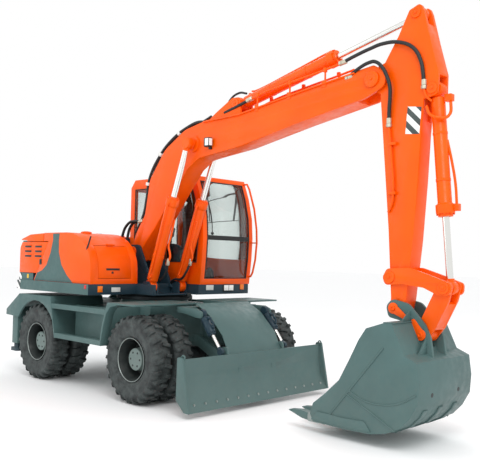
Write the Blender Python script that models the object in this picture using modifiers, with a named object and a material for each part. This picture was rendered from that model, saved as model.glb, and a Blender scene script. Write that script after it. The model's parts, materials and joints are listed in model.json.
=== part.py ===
"""Wheeled excavator of the 14 tonne class, on twin tyres, with a front blade and rear stabilisers.

Metres. +X is forward, +Y is left, +Z is up and the tyres stand on z = 0. Every piece is drawn
with x = 0 at the slewing axis; the last step moves the whole machine so that the middle of its
length is at x = 0.
"""

import math

import bmesh
import bpy
from mathutils import Matrix, Vector

GAP = 0.0003  # between pieces that touch
CLEAR = 0.007  # between pieces that move past each other
SLIDE = 0.0006  # between a sliding or turning face and its guide
PIN_CLEAR = 0.0009  # between a pin and its bore
PIN_SIDES = 24
FACETS = 26  # sides of a tyre, so that it stands on a flat and not on an edge

# Wheels and axles
WHEELBASE = 2.25
TYRE_RADIUS = 0.5275
TYRE_WIDTH = 0.262
TWIN_PITCH = 0.326
OVERALL_TYRES = 2.482
RIM_RADIUS = 0.262
RIM_WALL = 0.018
RIM_OVERHANG = 0.107  # of the rim past the middle of each tyre
HUB_FLANGE = 0.05
HUB_CAP_RADIUS = 0.135
HUB_CAP_DEPTH = 0.084  # from the outer tyre's face in to the hub cap
KINGPIN_Y = 0.60
AXLE_RADIUS = 0.09
DRUM_RADIUS = 0.17
SPINDLE_RADIUS = 0.08
KINGPIN_HALF = 0.10
SADDLE_HALF = 0.20
OUTER_TYRE_Y = (OVERALL_TYRES - TYRE_WIDTH) / 2
HUB_Y = OUTER_TYRE_Y - TWIN_PITCH / 2
SPINDLE_END = HUB_Y - HUB_FLANGE - GAP

# Undercarriage
BEAM_BOTTOM = 0.66
BEAM_TOP = 1.09
REAR_BEAM_HALF = 0.38
REAR_PLATE_HALF = 0.258
FRONT_BEAM_HALF = 0.22
CENTRE_HALF = 0.46
CENTRE_LENGTH = 1.00
REAR_OVERHANG = 0.715
FRONT_OVERHANG = 0.295
CHASSIS_REAR = -WHEELBASE / 2 - REAR_OVERHANG
CHASSIS_FRONT = WHEELBASE / 2 + FRONT_OVERHANG
FENDER_OUT = 1.258
FENDER_TOP = 1.185
SHEET = 0.02
STEP_UPPER = 1.06
STEP_LOWER = 0.665
STEP_BAR = 0.065
BOX_X = (-0.47, 0.28)
RING_RADIUS = 0.54
RING_BOTTOM = 1.17

# Stabilisers
POST_X = 0.157
POST_Y = 0.13
POST_WALL = 0.022
POST_INSET = 0.031  # of the post's face from the mudguard's
POST_OUT = FENDER_OUT - POST_INSET
POST_BOTTOM = 0.44
FOOT_BOTTOM = 0.33
PAD_HALF = 0.10

# Blade
BLADE_PIVOT = (CHASSIS_FRONT - 0.195, 0.72)
BLADE_FRONT = CHASSIS_FRONT + 0.784
BLADE_BOTTOM = 0.067
BLADE_HEIGHT = 0.567
BLADE_WIDTH = 2.458
BLADE_SETBACK = 0.147
BLADE_SHEET = 0.03
ARM_Y = 0.29
ARM_WIDTH = 0.09
BLADE_PIVOT_INNER = ARM_Y + ARM_WIDTH / 2
GUARD_HALF = 0.46
GUARD_SHEET = 0.009
BLADE_BORE = 0.038
BLADE_CYLINDER_Y = 0.555
BLADE_CYLINDER_FOOT = (CHASSIS_FRONT + 0.225, 1.085)
BLADE_CYLINDER_EYE = (CHASSIS_FRONT + 0.565, 0.665)
BLADE_LUG_OFFSET = 0.055  # of a lug from its cylinder's middle
BLADE_LUG_THICK = 0.03

# Upper structure
DECK_BOTTOM = 1.25
DECK_TOP = 1.39
DECK_HALF = 1.25
TAIL_RADIUS = 2.10
RIGHT_FRONT = 0.21
LEFT_FRONT = 0.68
NOSE_FRONT = 0.60
SILL_TOP = 1.49
BODY_SIDE = 1.22
BOOM_WALL = 0.035
LUG_OFFSET = 0.055  # of a lug from its boom cylinder's middle
LUG_THICK = 0.022
BULKHEAD = 0.022
HINGE_RADIUS = 0.014
HINGE_LENGTH = 0.05
COVER_OPENING_Y = (-1.10, -0.58)
COVER_OPENING_Z = (1.46, 1.90)
COVER_OPENING_REAR = -0.12
HOOD_TOP = 2.07
DOOR_TOP = 1.94
BULKHEAD_REAR = -1.01
BULKHEAD_TOP = 2.045
HOOD_HINGE = (-1.016, 2.083)
HOOD_HINGES = (-0.30, 0.80)
DOOR_HINGE_X = -1.68
DOOR_GAP = 0.006
COVER_REAR = -1.00
COVER_NOTCH = -0.875
COVER_SLANT = 0.696
COVER_INNER = -0.47
COVER_HINGE = (0.0835, 1.9104)
COUNTERWEIGHT_FRONT = -1.50
COUNTERWEIGHT_HALF = 1.14
PANEL = 0.035

# Cab
CAB_RIGHT = 0.25
CAB_LEFT = 1.24
CAB_REAR = -0.98
CAB_WALL = 0.045
CAB_FLOOR = DECK_TOP + GAP
CAB_ROOF = 2.95
CAB_CORNER = 0.075  # width of the two front posts
DOORWAY_SILL = 1.45
DOORWAY_HEAD = 2.86
DOORWAY_REAR = -0.27
DOOR_SEAM = 0.005
DOOR_FRAME = 0.06
WINDOW_HEAD = 2.80
FRONT_SILL = 1.475
SIDE_SILL = 1.70
REAR_SIDE_SILL = 1.98
GLASS = 0.008
GLASS_INSET = 0.012

# Working arm, in its own plane
ARM_PLANE = -0.11
BOOM_HALF = 0.14
STICK_HALF = 0.10
BOOM_FOOT = (-0.14, 1.83)
BOOM_TIP = (3.835, 3.64)
BOOM_CYLINDER_Y = 0.257
BOOM_CYLINDER_FOOT = (0.375, 1.36)
BOOM_CYLINDER_EYE = (1.075, 3.25)
STICK_CYLINDER_FOOT = (1.80, 3.69)
STICK_CYLINDER_EYE = (4.315, 4.235)
BUCKET_CYLINDER_FOOT = (4.50, 3.45)
BUCKET_CYLINDER_EYE = (4.66, 1.525)
ROCKER_PIN = (4.07, 1.61)
BUCKET_PIN = (4.125, 1.305)
LINK_PIN = (4.43, 1.07)
BOOM_FOOT_BORE = 0.048
BOOM_TIP_BORE = 0.045
ROCKER_BORE = 0.034
BUCKET_BORE = 0.038
LINK_BORE = 0.032
BUCKET_WIDTH = 1.00
EAR_THICK = 0.032

# Finishes: colour, roughness, metallic
ORANGE = ("signal orange paint", "F05A14", 0.35, 0.0)
GREY_GREEN = ("grey green paint", "71877F", 0.45, 0.0)
DARK_GREY = ("dark grey paint", "2C3E48", 0.5, 0.0)
BLACK = ("black rubber", "1E2122", 0.8, 0.0)
RIM_GREY = ("rim enamel", "4A5252", 0.45, 0.0)
CAST = ("axle enamel", "2A3233", 0.5, 0.0)
CHROME = ("hard chrome", "D8D8D4", 0.12, 1.0)
CLEAR_GLASS = ("safety glass", "AEBEBC", 0.05, 0.0)
SEAT_CLOTH = ("seat cloth", "2E3032", 0.9, 0.0)


def linear(channel):
    """The linear value of one sRGB channel."""
    return channel / 12.92 if channel <= 0.04045 else ((channel + 0.055) / 1.055) ** 2.4


def finish(recipe):
    """The material of that name, made the first time it is asked for."""
    name, colour, roughness, metallic = recipe
    material = bpy.data.materials.get(name)
    if material:
        return material
    material = bpy.data.materials.new(name)
    material.use_nodes = True
    shader = material.node_tree.nodes["Principled BSDF"]
    rgb = [linear(int(colour[i : i + 2], 16) / 255) for i in (0, 2, 4)]
    shader.inputs["Base Color"].default_value = (*rgb, 1)
    shader.inputs["Roughness"].default_value = roughness
    shader.inputs["Metallic"].default_value = metallic
    return material


def place(mesh, name="piece"):
    """A new object of this mesh, in the machine's collection."""
    piece = bpy.data.objects.new(name, mesh)
    parts.objects.link(piece)
    return piece


def mesh_from(shape):
    """A mesh object of a bmesh, which is freed."""
    bmesh.ops.recalc_face_normals(shape, faces=shape.faces)
    mesh = bpy.data.meshes.new("piece")
    shape.to_mesh(mesh)
    shape.free()
    return place(mesh)


def block(x, y, z, bevel=0.0):
    """A box between pairs of limits, its edges rounded by a Bevel modifier."""
    shape = bmesh.new()
    size = Matrix.Diagonal((x[1] - x[0], y[1] - y[0], z[1] - z[0], 1))
    middle = Matrix.Translation((sum(x) / 2, sum(y) / 2, sum(z) / 2))
    bmesh.ops.create_cube(shape, size=1, matrix=middle @ size)
    piece = mesh_from(shape)
    if bevel:
        soften(piece, bevel)
    return piece


def soften(piece, width):
    """Rounds every sharp edge of a piece."""
    modifier = piece.modifiers.new("rounded edges", "BEVEL")
    modifier.width = width
    modifier.segments = 2
    modifier.limit_method = "ANGLE"
    modifier.angle_limit = math.radians(40)


def bar(start, end, radius, sides=16):
    """A round bar between two points."""
    start, end = Vector(start), Vector(end)
    along = end - start
    turn = along.to_track_quat("Z", "Y").to_matrix().to_4x4()
    shape = bmesh.new()
    bmesh.ops.create_cone(
        shape,
        cap_ends=True,
        segments=sides,
        radius1=radius,
        radius2=radius,
        depth=along.length,
        matrix=Matrix.Translation((start + end) / 2) @ turn,
    )
    return mesh_from(shape)


def fillet(before, corner, after, radius, steps=4):
    """Points of the arc that rounds a corner of an outline."""
    a = (Vector(before) - Vector(corner)).normalized()
    b = (Vector(after) - Vector(corner)).normalized()
    half = a.angle(b) / 2
    reach = radius / math.tan(half)
    centre = Vector(corner) + (a + b).normalized() * radius / math.sin(half)
    first = Vector(corner) + a * reach - centre
    last = Vector(corner) + b * reach - centre
    turn = math.atan2(first.cross(last), first.dot(last))
    points = []
    for step in range(steps + 1):
        angle = turn * step / steps
        c, s = math.cos(angle), math.sin(angle)
        points.append(centre + Vector((c * first.x - s * first.y, s * first.x + c * first.y)))
    return [tuple(point) for point in points]


def rounded(corners):
    """Outline points from corners; a corner with a third value is rounded to that radius."""
    points = []
    for i, corner in enumerate(corners):
        if len(corner) == 2:
            points.append(tuple(corner))
        else:
            before, after = corners[i - 1][:2], corners[(i + 1) % len(corners)][:2]
            points += fillet(before, corner[:2], after, corner[2])
    return points


def extruded(corners, low, high, turn):
    """A flat outline extruded from low to high along its own normal, turned into place."""
    curve = bpy.data.curves.new("outline", "CURVE")
    curve.dimensions = "2D"
    curve.fill_mode = "BOTH"
    curve.extrude = (high - low) / 2
    points = rounded(corners)
    spline = curve.splines.new("POLY")
    spline.points.add(len(points) - 1)
    for point, (u, v) in zip(spline.points, points):
        point.co = (u, v, 0, 1)
    spline.use_cyclic_u = True
    guide = place(curve)
    guide.matrix_world = turn @ Matrix.Translation((0, 0, (low + high) / 2))
    return meshed(guide)


def meshed(guide):
    """The mesh object that takes a curve's place, with its caps welded on."""
    bpy.context.view_layer.update()
    graph = bpy.context.evaluated_depsgraph_get()
    mesh = bpy.data.meshes.new_from_object(guide.evaluated_get(graph))
    mesh.transform(guide.matrix_world)
    shape = bmesh.new()
    shape.from_mesh(mesh)
    bmesh.ops.remove_doubles(shape, verts=shape.verts, dist=0.00005)
    bpy.data.objects.remove(guide)
    return mesh_from(shape)


def side(corners, low, high):
    """An outline in (x, z), extruded across the machine between two y."""
    turn = Matrix(((1, 0, 0, 0), (0, 0, 1, 0), (0, 1, 0, 0), (0, 0, 0, 1)))
    return extruded(corners, low, high, turn)


def plan(corners, low, high):
    """An outline in (x, y), extruded upwards between two z."""
    return extruded(corners, low, high, Matrix.Identity(4))


def turned(profile, sides):
    """A profile of (radius, z) turned about Z, drawn from top to bottom on its outer side."""
    shape = bmesh.new()
    ring = [shape.verts.new((radius, 0, z)) for radius, z in profile]
    for a, b in zip(ring, ring[1:]):
        shape.edges.new((a, b))
    if profile[0][0] > 0:
        shape.edges.new((ring[-1], ring[0]))
    mesh = bpy.data.meshes.new("profile")
    shape.to_mesh(mesh)
    shape.free()
    piece = place(mesh)
    modifier = piece.modifiers.new("turned", "SCREW")
    modifier.steps = sides
    modifier.render_steps = sides
    modifier.use_merge_vertices = True
    modifier.merge_threshold = 0.0001
    return piece


def combine(piece, others, operation):
    """Joins other pieces to a piece, or cuts them from it, and keeps them as hidden helpers."""
    for other in others:
        modifier = piece.modifiers.new(operation.lower(), "BOOLEAN")
        modifier.operation = operation
        modifier.solver = "EXACT"
        modifier.object = other
        parts.objects.unlink(other)
        helpers.objects.link(other)
        other.parent = machine
        other.hide_render = True
        other.display_type = "WIRE"
        other.name = "helper"
    return piece


def joined(first, *others):
    return combine(first, others, "UNION")


def cut(first, *others):
    return combine(first, others, "DIFFERENCE")


def sub_part(name, piece, recipe, pivot=(0, 0, 0)):
    """Names a finished piece, paints it and puts its origin on its joint's axis."""
    piece.name = name
    piece.data.materials.clear()
    piece.data.materials.append(finish(recipe))
    if not any(modifier.type == "SCREW" for modifier in piece.modifiers):
        piece.data.transform(Matrix.Translation(-Vector(pivot)))
        piece.location = pivot
    piece.parent = machine
    return piece


def at(point, y):
    """A point of a side view, at some y."""
    return (point[0], y, point[1])


def along(start, end, distance):
    """The point at some distance from start towards end, in a side view."""
    start, end = Vector(start), Vector(end)
    return tuple(start + (end - start).normalized() * distance)


def disc(centre, radius, low, high, sides=16):
    """A round boss, eye or bore across the machine."""
    return bar(at(centre, low), at(centre, high), radius, sides)


def pin(centre, bore, low, high):
    """A pin across the machine that turns in a bore of this radius."""
    return disc(centre, bore - PIN_CLEAR, low, high, PIN_SIDES)


def knuckles(start, end, radius, gap_at):
    """Two hinge knuckles on one line, with a sliding gap between them at a share of its length."""
    start, end = Vector(start), Vector(end)
    middle = start.lerp(end, gap_at)
    gap = (end - start).normalized() * SLIDE / 2
    return bar(start, middle - gap, radius, 12), bar(middle + gap, end, radius, 12)


# ---------------------------------------------------------------- undercarriage


def chassis_frame():
    """Welded beam frame with its turret pedestal, axle saddles, rear posts and blade brackets."""
    front_half = BLADE_CYLINDER_Y + 0.065
    centre_x = (-CENTRE_LENGTH / 2, CENTRE_LENGTH / 2)
    frame = block(centre_x, (-CENTRE_HALF, CENTRE_HALF), (BEAM_BOTTOM, BEAM_TOP))
    rear_x = (CHASSIS_REAR + 0.02, centre_x[0] + 0.1)
    rear = block(rear_x, (-REAR_BEAM_HALF, REAR_BEAM_HALF), (BEAM_BOTTOM + 0.01, BEAM_TOP - 0.01))
    front_x = (centre_x[1] - 0.1, CHASSIS_FRONT - 0.02)
    front = block(front_x, (-FRONT_BEAM_HALF, FRONT_BEAM_HALF), (BEAM_BOTTOM + 0.01, BEAM_TOP + 0.04))
    pedestal = bar((0, 0, BEAM_TOP - 0.005), (0, 0, RING_BOTTOM - GAP), RING_RADIUS - 0.06, 32)
    cross = block((CHASSIS_FRONT - 0.17, CHASSIS_FRONT), (-front_half, front_half), (1.075, 1.15))
    pieces = [rear, front, pedestal, cross]
    for x in (-WHEELBASE / 2, WHEELBASE / 2):
        saddle_z = (TYRE_RADIUS + AXLE_RADIUS + GAP, BEAM_BOTTOM + 0.05)
        saddle = block((x - 0.13, x + 0.13), (-SADDLE_HALF, SADDLE_HALF), saddle_z)
        pieces.append(saddle)
    beam_x = (CHASSIS_REAR, CHASSIS_REAR + POST_X)
    pieces.append(block(beam_x, (-REAR_PLATE_HALF, REAR_PLATE_HALF), (0.70, 0.98)))
    tie_x = (CHASSIS_REAR + 0.01, CHASSIS_REAR + POST_X - 0.01)
    pieces.append(block(tie_x, (0.01 - POST_OUT, POST_OUT - 0.01), (0.86, 0.97)))
    pockets = []
    for hand in (-1, 1):
        post_y = sorted((hand * POST_OUT, hand * (POST_OUT - POST_Y)))
        pieces.append(block(beam_x, post_y, (POST_BOTTOM, 0.98)))
        pocket_x = (beam_x[0] + POST_WALL, beam_x[1] - POST_WALL)
        pocket_y = (post_y[0] + POST_WALL, post_y[1] - POST_WALL)
        pockets.append(block(pocket_x, pocket_y, (POST_BOTTOM - 0.1, 0.90)))
        lug_y = sorted((hand * (front_half - 0.03), hand * front_half))
        root, nose = CHASSIS_FRONT - 0.08, CHASSIS_FRONT + 0.28
        lug = [
            (root, 1.08), (root, 1.145), (nose - 0.10, 1.145), (nose, 1.11, 0.03), (nose, 1.03, 0.03),
            (nose - 0.12, 1.04),
        ]
        pieces.append(side(lug, *lug_y))
        pin_y = sorted((hand * BLADE_PIVOT_INNER, hand * (FRONT_BEAM_HALF - 0.05)))
        pieces.append(pin(BLADE_PIVOT, BLADE_BORE, *pin_y))
    joined(frame, *pieces)
    cut(frame, *pockets)
    sub_part("chassis_frame", frame, GREY_GREEN)


def slew_ring():
    """Turntable bearing between the chassis and the deck."""
    top = DECK_BOTTOM - GAP
    inner = RING_RADIUS - 0.16
    profile = [
        (inner, top), (RING_RADIUS - 0.05, top), (RING_RADIUS - 0.05, top - 0.03),
        (RING_RADIUS, top - 0.03), (RING_RADIUS, RING_BOTTOM), (inner, RING_BOTTOM),
    ]
    sub_part("slew_ring", turned(profile, 40), DARK_GREY)


def wheel_arch(x, low, high):
    """A cutter that clears a tyre."""
    return bar((x, low, TYRE_RADIUS), (x, high, TYRE_RADIUS), TYRE_RADIUS + 0.055, 32)


def fenders(name, hand):
    """Rear and front mudguards of one side, with the two step bars and the box between them."""
    out = hand * FENDER_OUT
    rear_in, front_in = hand * (REAR_BEAM_HALF + GAP), hand * (FRONT_BEAM_HALF + GAP)
    top, low = FENDER_TOP, FENDER_TOP - SHEET
    rear, front = -WHEELBASE / 2, WHEELBASE / 2
    rear_cover = [
        (rear + 0.555, 0.627), (rear + 0.535, 0.627), (rear + 0.39, low), (rear - 0.46, low),
        (rear - 0.84, 0.93),
        (rear - 0.85, 0.855), (rear - 0.87, 0.855), (rear - 0.865, 0.935), (rear - 0.475, top),
        (rear + 0.41, top),
    ]
    sheet = side(rear_cover, *sorted((rear_in + hand * 0.03, out - hand * 0.002)))
    valance_outline = [
        (rear + 0.55, 0.635), (rear + 0.405, top - 0.002), (rear - 0.475, top - 0.002), (rear - 0.86, 0.93),
        (rear - 0.86, 0.855), (rear - 0.475, 0.84), (rear - 0.295, 0.70), (rear + 0.225, 0.63),
    ]
    valance = side(valance_outline, *sorted((out, out - hand * 0.03)))
    cut(valance, wheel_arch(rear, *sorted((out + hand * 0.05, out - hand * 0.08))))
    front_cover = block((front - 0.465, front + 0.10), sorted((front_in, out)), (low, top))
    leg = [
        (front - 0.465, top - 0.001), (front - 0.525, 1.04), (front - 0.58, 0.86), (front - 0.62, 0.635),
        (front - 0.60, 0.635), (front - 0.55, 0.86), (front - 0.485, 1.04), (front - 0.405, 1.13),
        (front - 0.265, 1.16), (front - 0.265, top - 0.001),
    ]
    leg_piece = side(leg, *sorted((out - hand * 0.001, out - hand * 0.12)))
    bar_y = sorted((out - hand * 0.004, out - hand * 0.09))
    upper_z = (STEP_UPPER - STEP_BAR / 2, STEP_UPPER + STEP_BAR / 2)
    upper = block((rear + 0.405, front - 0.505), bar_y, upper_z)
    lower_z = (STEP_LOWER - STEP_BAR / 2, STEP_LOWER + STEP_BAR / 2)
    lower = block((rear + 0.525, front - 0.59), bar_y, lower_z)
    box_y = sorted((hand * (CENTRE_HALF + GAP), out - hand * 0.258))
    box = block(BOX_X, box_y, (STEP_LOWER - 0.01, 1.08))
    floor_x = (BOX_X[0] + 0.01, BOX_X[1] - 0.01)
    floor_y = sorted((out - hand * 0.358, out - hand * 0.05))
    floor = block(floor_x, floor_y, (STEP_LOWER - 0.03, STEP_LOWER))
    rear_hanger_y = sorted((rear_in, rear_in + hand * 0.06))
    hanger = block((rear - 0.325, rear + 0.325), rear_hanger_y, (BEAM_TOP - 0.08, top - 0.001))
    front_hanger_y = sorted((front_in, front_in + hand * 0.05))
    front_hanger = block((front - 0.325, front + 0.025), front_hanger_y, (BEAM_TOP - 0.02, top - 0.001))
    joined(sheet, valance, hanger, upper, lower, floor, box, leg_piece, front_cover, front_hanger)
    sub_part(name, sheet, GREY_GREEN)


def rear_axle():
    """Rigid axle with its gear case, brake drums and spindles."""
    x = -WHEELBASE / 2
    z = TYRE_RADIUS
    housing = bar((x, -0.57, z), (x, 0.57, z), AXLE_RADIUS)
    gear = bar((x - 0.17, 0, z), (x + 0.22, 0, z), 0.16)
    pieces = [gear]
    for hand in (-1, 1):
        pieces.append(bar((x, hand * 0.55, z), (x, hand * 0.80, z), DRUM_RADIUS, 20))
        pieces.append(bar((x, hand * 0.79, z), (x, hand * SPINDLE_END, z), SPINDLE_RADIUS))
    sub_part("rear_axle", cut(joined(housing, *pieces), saddle_cutter(x)), CAST)


def saddle_cutter(x):
    """Clears the top of an axle where the chassis saddle sits."""
    half = SADDLE_HALF + 0.01
    return block((x - 0.3, x + 0.3), (-half, half), (TYRE_RADIUS + AXLE_RADIUS, TYRE_RADIUS + 0.3))


def front_axle():
    """Steering axle beam with an eye for each kingpin."""
    x = WHEELBASE / 2
    z = TYRE_RADIUS
    beam = bar((x, -KINGPIN_Y, z), (x, KINGPIN_Y, z), AXLE_RADIUS - 0.01)
    pieces = [bar((x - 0.2, 0, z), (x + 0.15, 0, z), 0.15)]
    pieces.append(block((x - 0.12, x + 0.12), (-SADDLE_HALF, SADDLE_HALF), (z, z + AXLE_RADIUS)))
    for hand in (-1, 1):
        y = hand * KINGPIN_Y
        pieces.append(bar((x, y, z - KINGPIN_HALF), (x, y, z + KINGPIN_HALF), 0.062))
    axle = cut(joined(beam, *pieces), saddle_cutter(x))
    sub_part("front_axle", axle, CAST)


def knuckle(name, hand):
    """Steering knuckle: two arms around the axle's eye, a drum and a spindle."""
    x, z = WHEELBASE / 2, TYRE_RADIUS
    y = hand * KINGPIN_Y
    web_y = sorted((hand * 0.70, hand * 0.735))
    web = block((x - 0.09, x + 0.09), web_y, (z - 0.16, z + 0.16))
    arm_y = sorted((y - hand * 0.06, hand * 0.72))
    upper = block((x - 0.065, x + 0.065), arm_y, (z + KINGPIN_HALF + SLIDE, z + 0.15))
    lower = block((x - 0.065, x + 0.065), arm_y, (z - 0.15, z - KINGPIN_HALF - SLIDE))
    drum = bar((x, hand * 0.715, z), (x, hand * 0.80, z), DRUM_RADIUS, 20)
    spindle = bar((x, hand * 0.79, z), (x, hand * SPINDLE_END, z), SPINDLE_RADIUS)
    steer = block((x - 0.17, x - 0.05), sorted((hand * 0.66, hand * 0.72)), (z + 0.11, z + 0.145))
    sub_part(name, joined(web, upper, lower, drum, spindle, steer), CAST, (x, y, z))


def wheel(corner, x, hand):
    """Twin rim with its deep dish and hub cap, and the two tyres on it."""
    stand = Matrix.Rotation(math.radians(-90 * hand), 4, "X")
    reach = TWIN_PITCH / 2 + RIM_OVERHANG
    cap = OVERALL_TYRES / 2 - HUB_CAP_DEPTH - HUB_Y
    bore = RIM_RADIUS - RIM_WALL
    seat = RIM_RADIUS - GAP
    profile = [
        (0, cap), (HUB_CAP_RADIUS, cap), (HUB_CAP_RADIUS + 0.015, 0.03), (bore, 0.03), (bore, reach),
        (seat, reach),
        (seat, -reach), (bore, -reach), (bore, 0), (0.10, 0), (0.10, -HUB_FLANGE), (0, -HUB_FLANGE),
    ]
    rim = turned(profile, FACETS)
    rim.matrix_world = Matrix.Translation((x, hand * HUB_Y, TYRE_RADIUS)) @ stand
    sub_part(corner + "_rim", rim, RIM_GREY)
    crown = TYRE_RADIUS / math.cos(math.pi / FACETS)
    half = TYRE_WIDTH / 2
    section = [(RIM_RADIUS, 0.09), (0.36, half), (0.45, half), (crown, 0.095)]
    section += [(radius, -z) for radius, z in reversed(section)]
    for which, offset in (("outer", TWIN_PITCH / 2), ("inner", -TWIN_PITCH / 2)):
        tyre = turned(section, FACETS)
        tyre.matrix_world = Matrix.Translation((x, hand * (HUB_Y + offset), TYRE_RADIUS)) @ stand
        sub_part(f"{corner}_{which}_tyre", tyre, BLACK)


# ---------------------------------------------------------------- blade and stabilisers


def cylinder(names, foot, eye, y, barrel, foot_y, eye_y, recipe=ORANGE):
    """Hydraulic cylinder in a side view plane: a barrel with its gland and foot eye, and a rod.

    barrel is its length, radius, gland radius, rod radius, rod length inside it and depth of its
    bore; foot_y and eye_y are the half widths of the two eyes.
    """
    length, radius, gland_radius, rod_radius, inside, depth = barrel
    tube = bar(at(foot, y), at(along(foot, eye, length), y), radius, 18)
    gland = bar(
        at(along(foot, eye, length - 0.10), y), at(along(foot, eye, length + 0.01), y), gland_radius, 18
    )
    foot_eye = disc(foot, radius * 1.12, y - foot_y, y + foot_y)
    slim = block((-1, 1), (y + foot_y, y + 1), (-1, 1))
    slim_low = block((-1, 1), (y - 1, y - foot_y), (-1, 1))
    reach = radius * 1.3
    for cutter in (slim, slim_low):
        stretch = Matrix.Diagonal((reach, 1, reach, 1))
        cutter.data.transform(Matrix.Translation(Vector(at(foot, 0))) @ stretch)
    bore = bar(
        at(along(foot, eye, length - depth), y), at(along(foot, eye, length + 0.2), y), rod_radius + SLIDE
    )
    body = joined(tube, gland, foot_eye)
    cut(body, slim, slim_low, bore)
    sub_part(names[0], body, recipe, at(foot, y))
    rod = bar(at(along(foot, eye, length - inside), y), at(along(eye, foot, 0.02), y), rod_radius)
    end = disc(eye, rod_radius * 2.0, y - eye_y, y + eye_y)
    sub_part(names[1], joined(rod, end), CHROME, at(eye, y))


def blade():
    """Mouldboard with end plates, on two push arms."""
    half = BLADE_WIDTH / 2
    bottom, top = BLADE_BOTTOM, BLADE_BOTTOM + BLADE_HEIGHT
    back = BLADE_FRONT - BLADE_SETBACK
    fold = bottom + 0.19
    section = [
        (BLADE_FRONT, bottom), (back + 0.035, fold), (back + 0.005, fold + 0.2), (back, top),
        (back - BLADE_SHEET, top), (back - BLADE_SHEET, fold + 0.2), (back + 0.035 - BLADE_SHEET, fold),
        (BLADE_FRONT - 0.05, bottom),
    ]
    board = side(section, -half + 0.005, half - 0.005)
    pieces = []
    for hand in (-1, 1):
        end_plate = [
            (BLADE_FRONT + 0.002, bottom + 0.001), (back + 0.03, top + 0.025, 0.02),
            (back - 0.06, top + 0.025, 0.02), (back - 0.07, bottom + 0.12),
            (BLADE_FRONT - 0.08, bottom + 0.001),
        ]
        pieces.append(side(end_plate, *sorted((hand * half, hand * (half - 0.03)))))
        arm_y = (hand * ARM_Y - ARM_WIDTH / 2, hand * ARM_Y + ARM_WIDTH / 2)
        px, pz = BLADE_PIVOT
        arm = [
            (px - 0.06, pz - 0.06, 0.05), (px - 0.06, pz + 0.06, 0.05), (px + 0.1, pz + 0.06),
            (back + 0.01, 0.47), (back + 0.02, 0.30), (px + 0.1, pz - 0.07),
        ]
        pieces.append(
            cut(side(arm, *arm_y), disc(BLADE_PIVOT, BLADE_BORE, arm_y[0] - 0.1, arm_y[1] + 0.1, PIN_SIDES))
        )
        ex, ez = BLADE_CYLINDER_EYE
        lug_y = hand * (BLADE_CYLINDER_Y - BLADE_LUG_OFFSET)
        lug = [
            (ex - 0.05, ez - 0.04, 0.03), (ex - 0.05, ez + 0.05, 0.03), (ex + 0.05, ez + 0.05, 0.03),
            (back - 0.01, top - 0.02), (back - 0.01, 0.45), (ex - 0.01, 0.50),
        ]
        pieces.append(side(lug, *sorted((lug_y, lug_y - hand * BLADE_LUG_THICK))))
    rib = [(back - 0.02, top - 0.05), (back - 0.12, 0.42), (back - 0.02, 0.22)]
    pieces.append(side(rib, -0.27, 0.27))
    pivot = at(BLADE_PIVOT, 0)
    sub_part("blade", joined(board, *pieces), GREY_GREEN, pivot)
    hem = CHASSIS_FRONT + 0.592
    guard_line = [(hem - 0.587, 1.195), (hem - 0.347, 1.07), (hem - 0.097, 0.84), (hem, 0.655)]
    inner = [(x - GUARD_SHEET, z - GUARD_SHEET) for x, z in reversed(guard_line)]
    board_face = back - BLADE_SHEET - GAP
    foot = [(hem, 0.655), (board_face, 0.63), (board_face, 0.615), (hem - 0.022, 0.645)]
    guard = side(guard_line + inner, -GUARD_HALF, GUARD_HALF)
    joined(guard, side(foot, -GUARD_HALF + 0.002, GUARD_HALF - 0.002))
    sub_part("blade_guard", guard, GREY_GREEN, pivot)
    for name, hand in (("right", -1), ("left", 1)):
        names = (f"{name}_blade_cylinder", f"{name}_blade_rod")
        size = (0.30, 0.05, 0.055, 0.022, 0.115, 0.29)
        y = hand * BLADE_CYLINDER_Y
        cylinder(names, BLADE_CYLINDER_FOOT, BLADE_CYLINDER_EYE, y, size, 0.035 - SLIDE, 0.022, DARK_GREY)


def stabiliser_foot(name, hand):
    """Inner post and round pad that slide out of a rear post."""
    x = CHASSIS_REAR + POST_X / 2
    y = hand * (POST_OUT - POST_Y / 2)
    inner_x, inner_y = POST_X / 2 - POST_WALL - SLIDE, POST_Y / 2 - POST_WALL - SLIDE
    post = block((x - inner_x, x + inner_x), (y - inner_y, y + inner_y), (FOOT_BOTTOM + 0.03, 0.86))
    pad_y = sorted((hand * (FENDER_OUT - 0.01), hand * (FENDER_OUT - 0.24)))
    corners = [
        (x + i, pad_y[j], 0.05) for i, j in ((-PAD_HALF, 0), (PAD_HALF, 0), (PAD_HALF, 1), (-PAD_HALF, 1))
    ]
    pad = plan(corners, FOOT_BOTTOM, FOOT_BOTTOM + 0.05)
    neck = bar((x, y, FOOT_BOTTOM + 0.04), (x, y, POST_BOTTOM - 0.012), 0.06)
    sub_part(name, joined(post, pad, neck), DARK_GREY, (x, y, FOOT_BOTTOM))


# ---------------------------------------------------------------- upper structure


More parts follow.
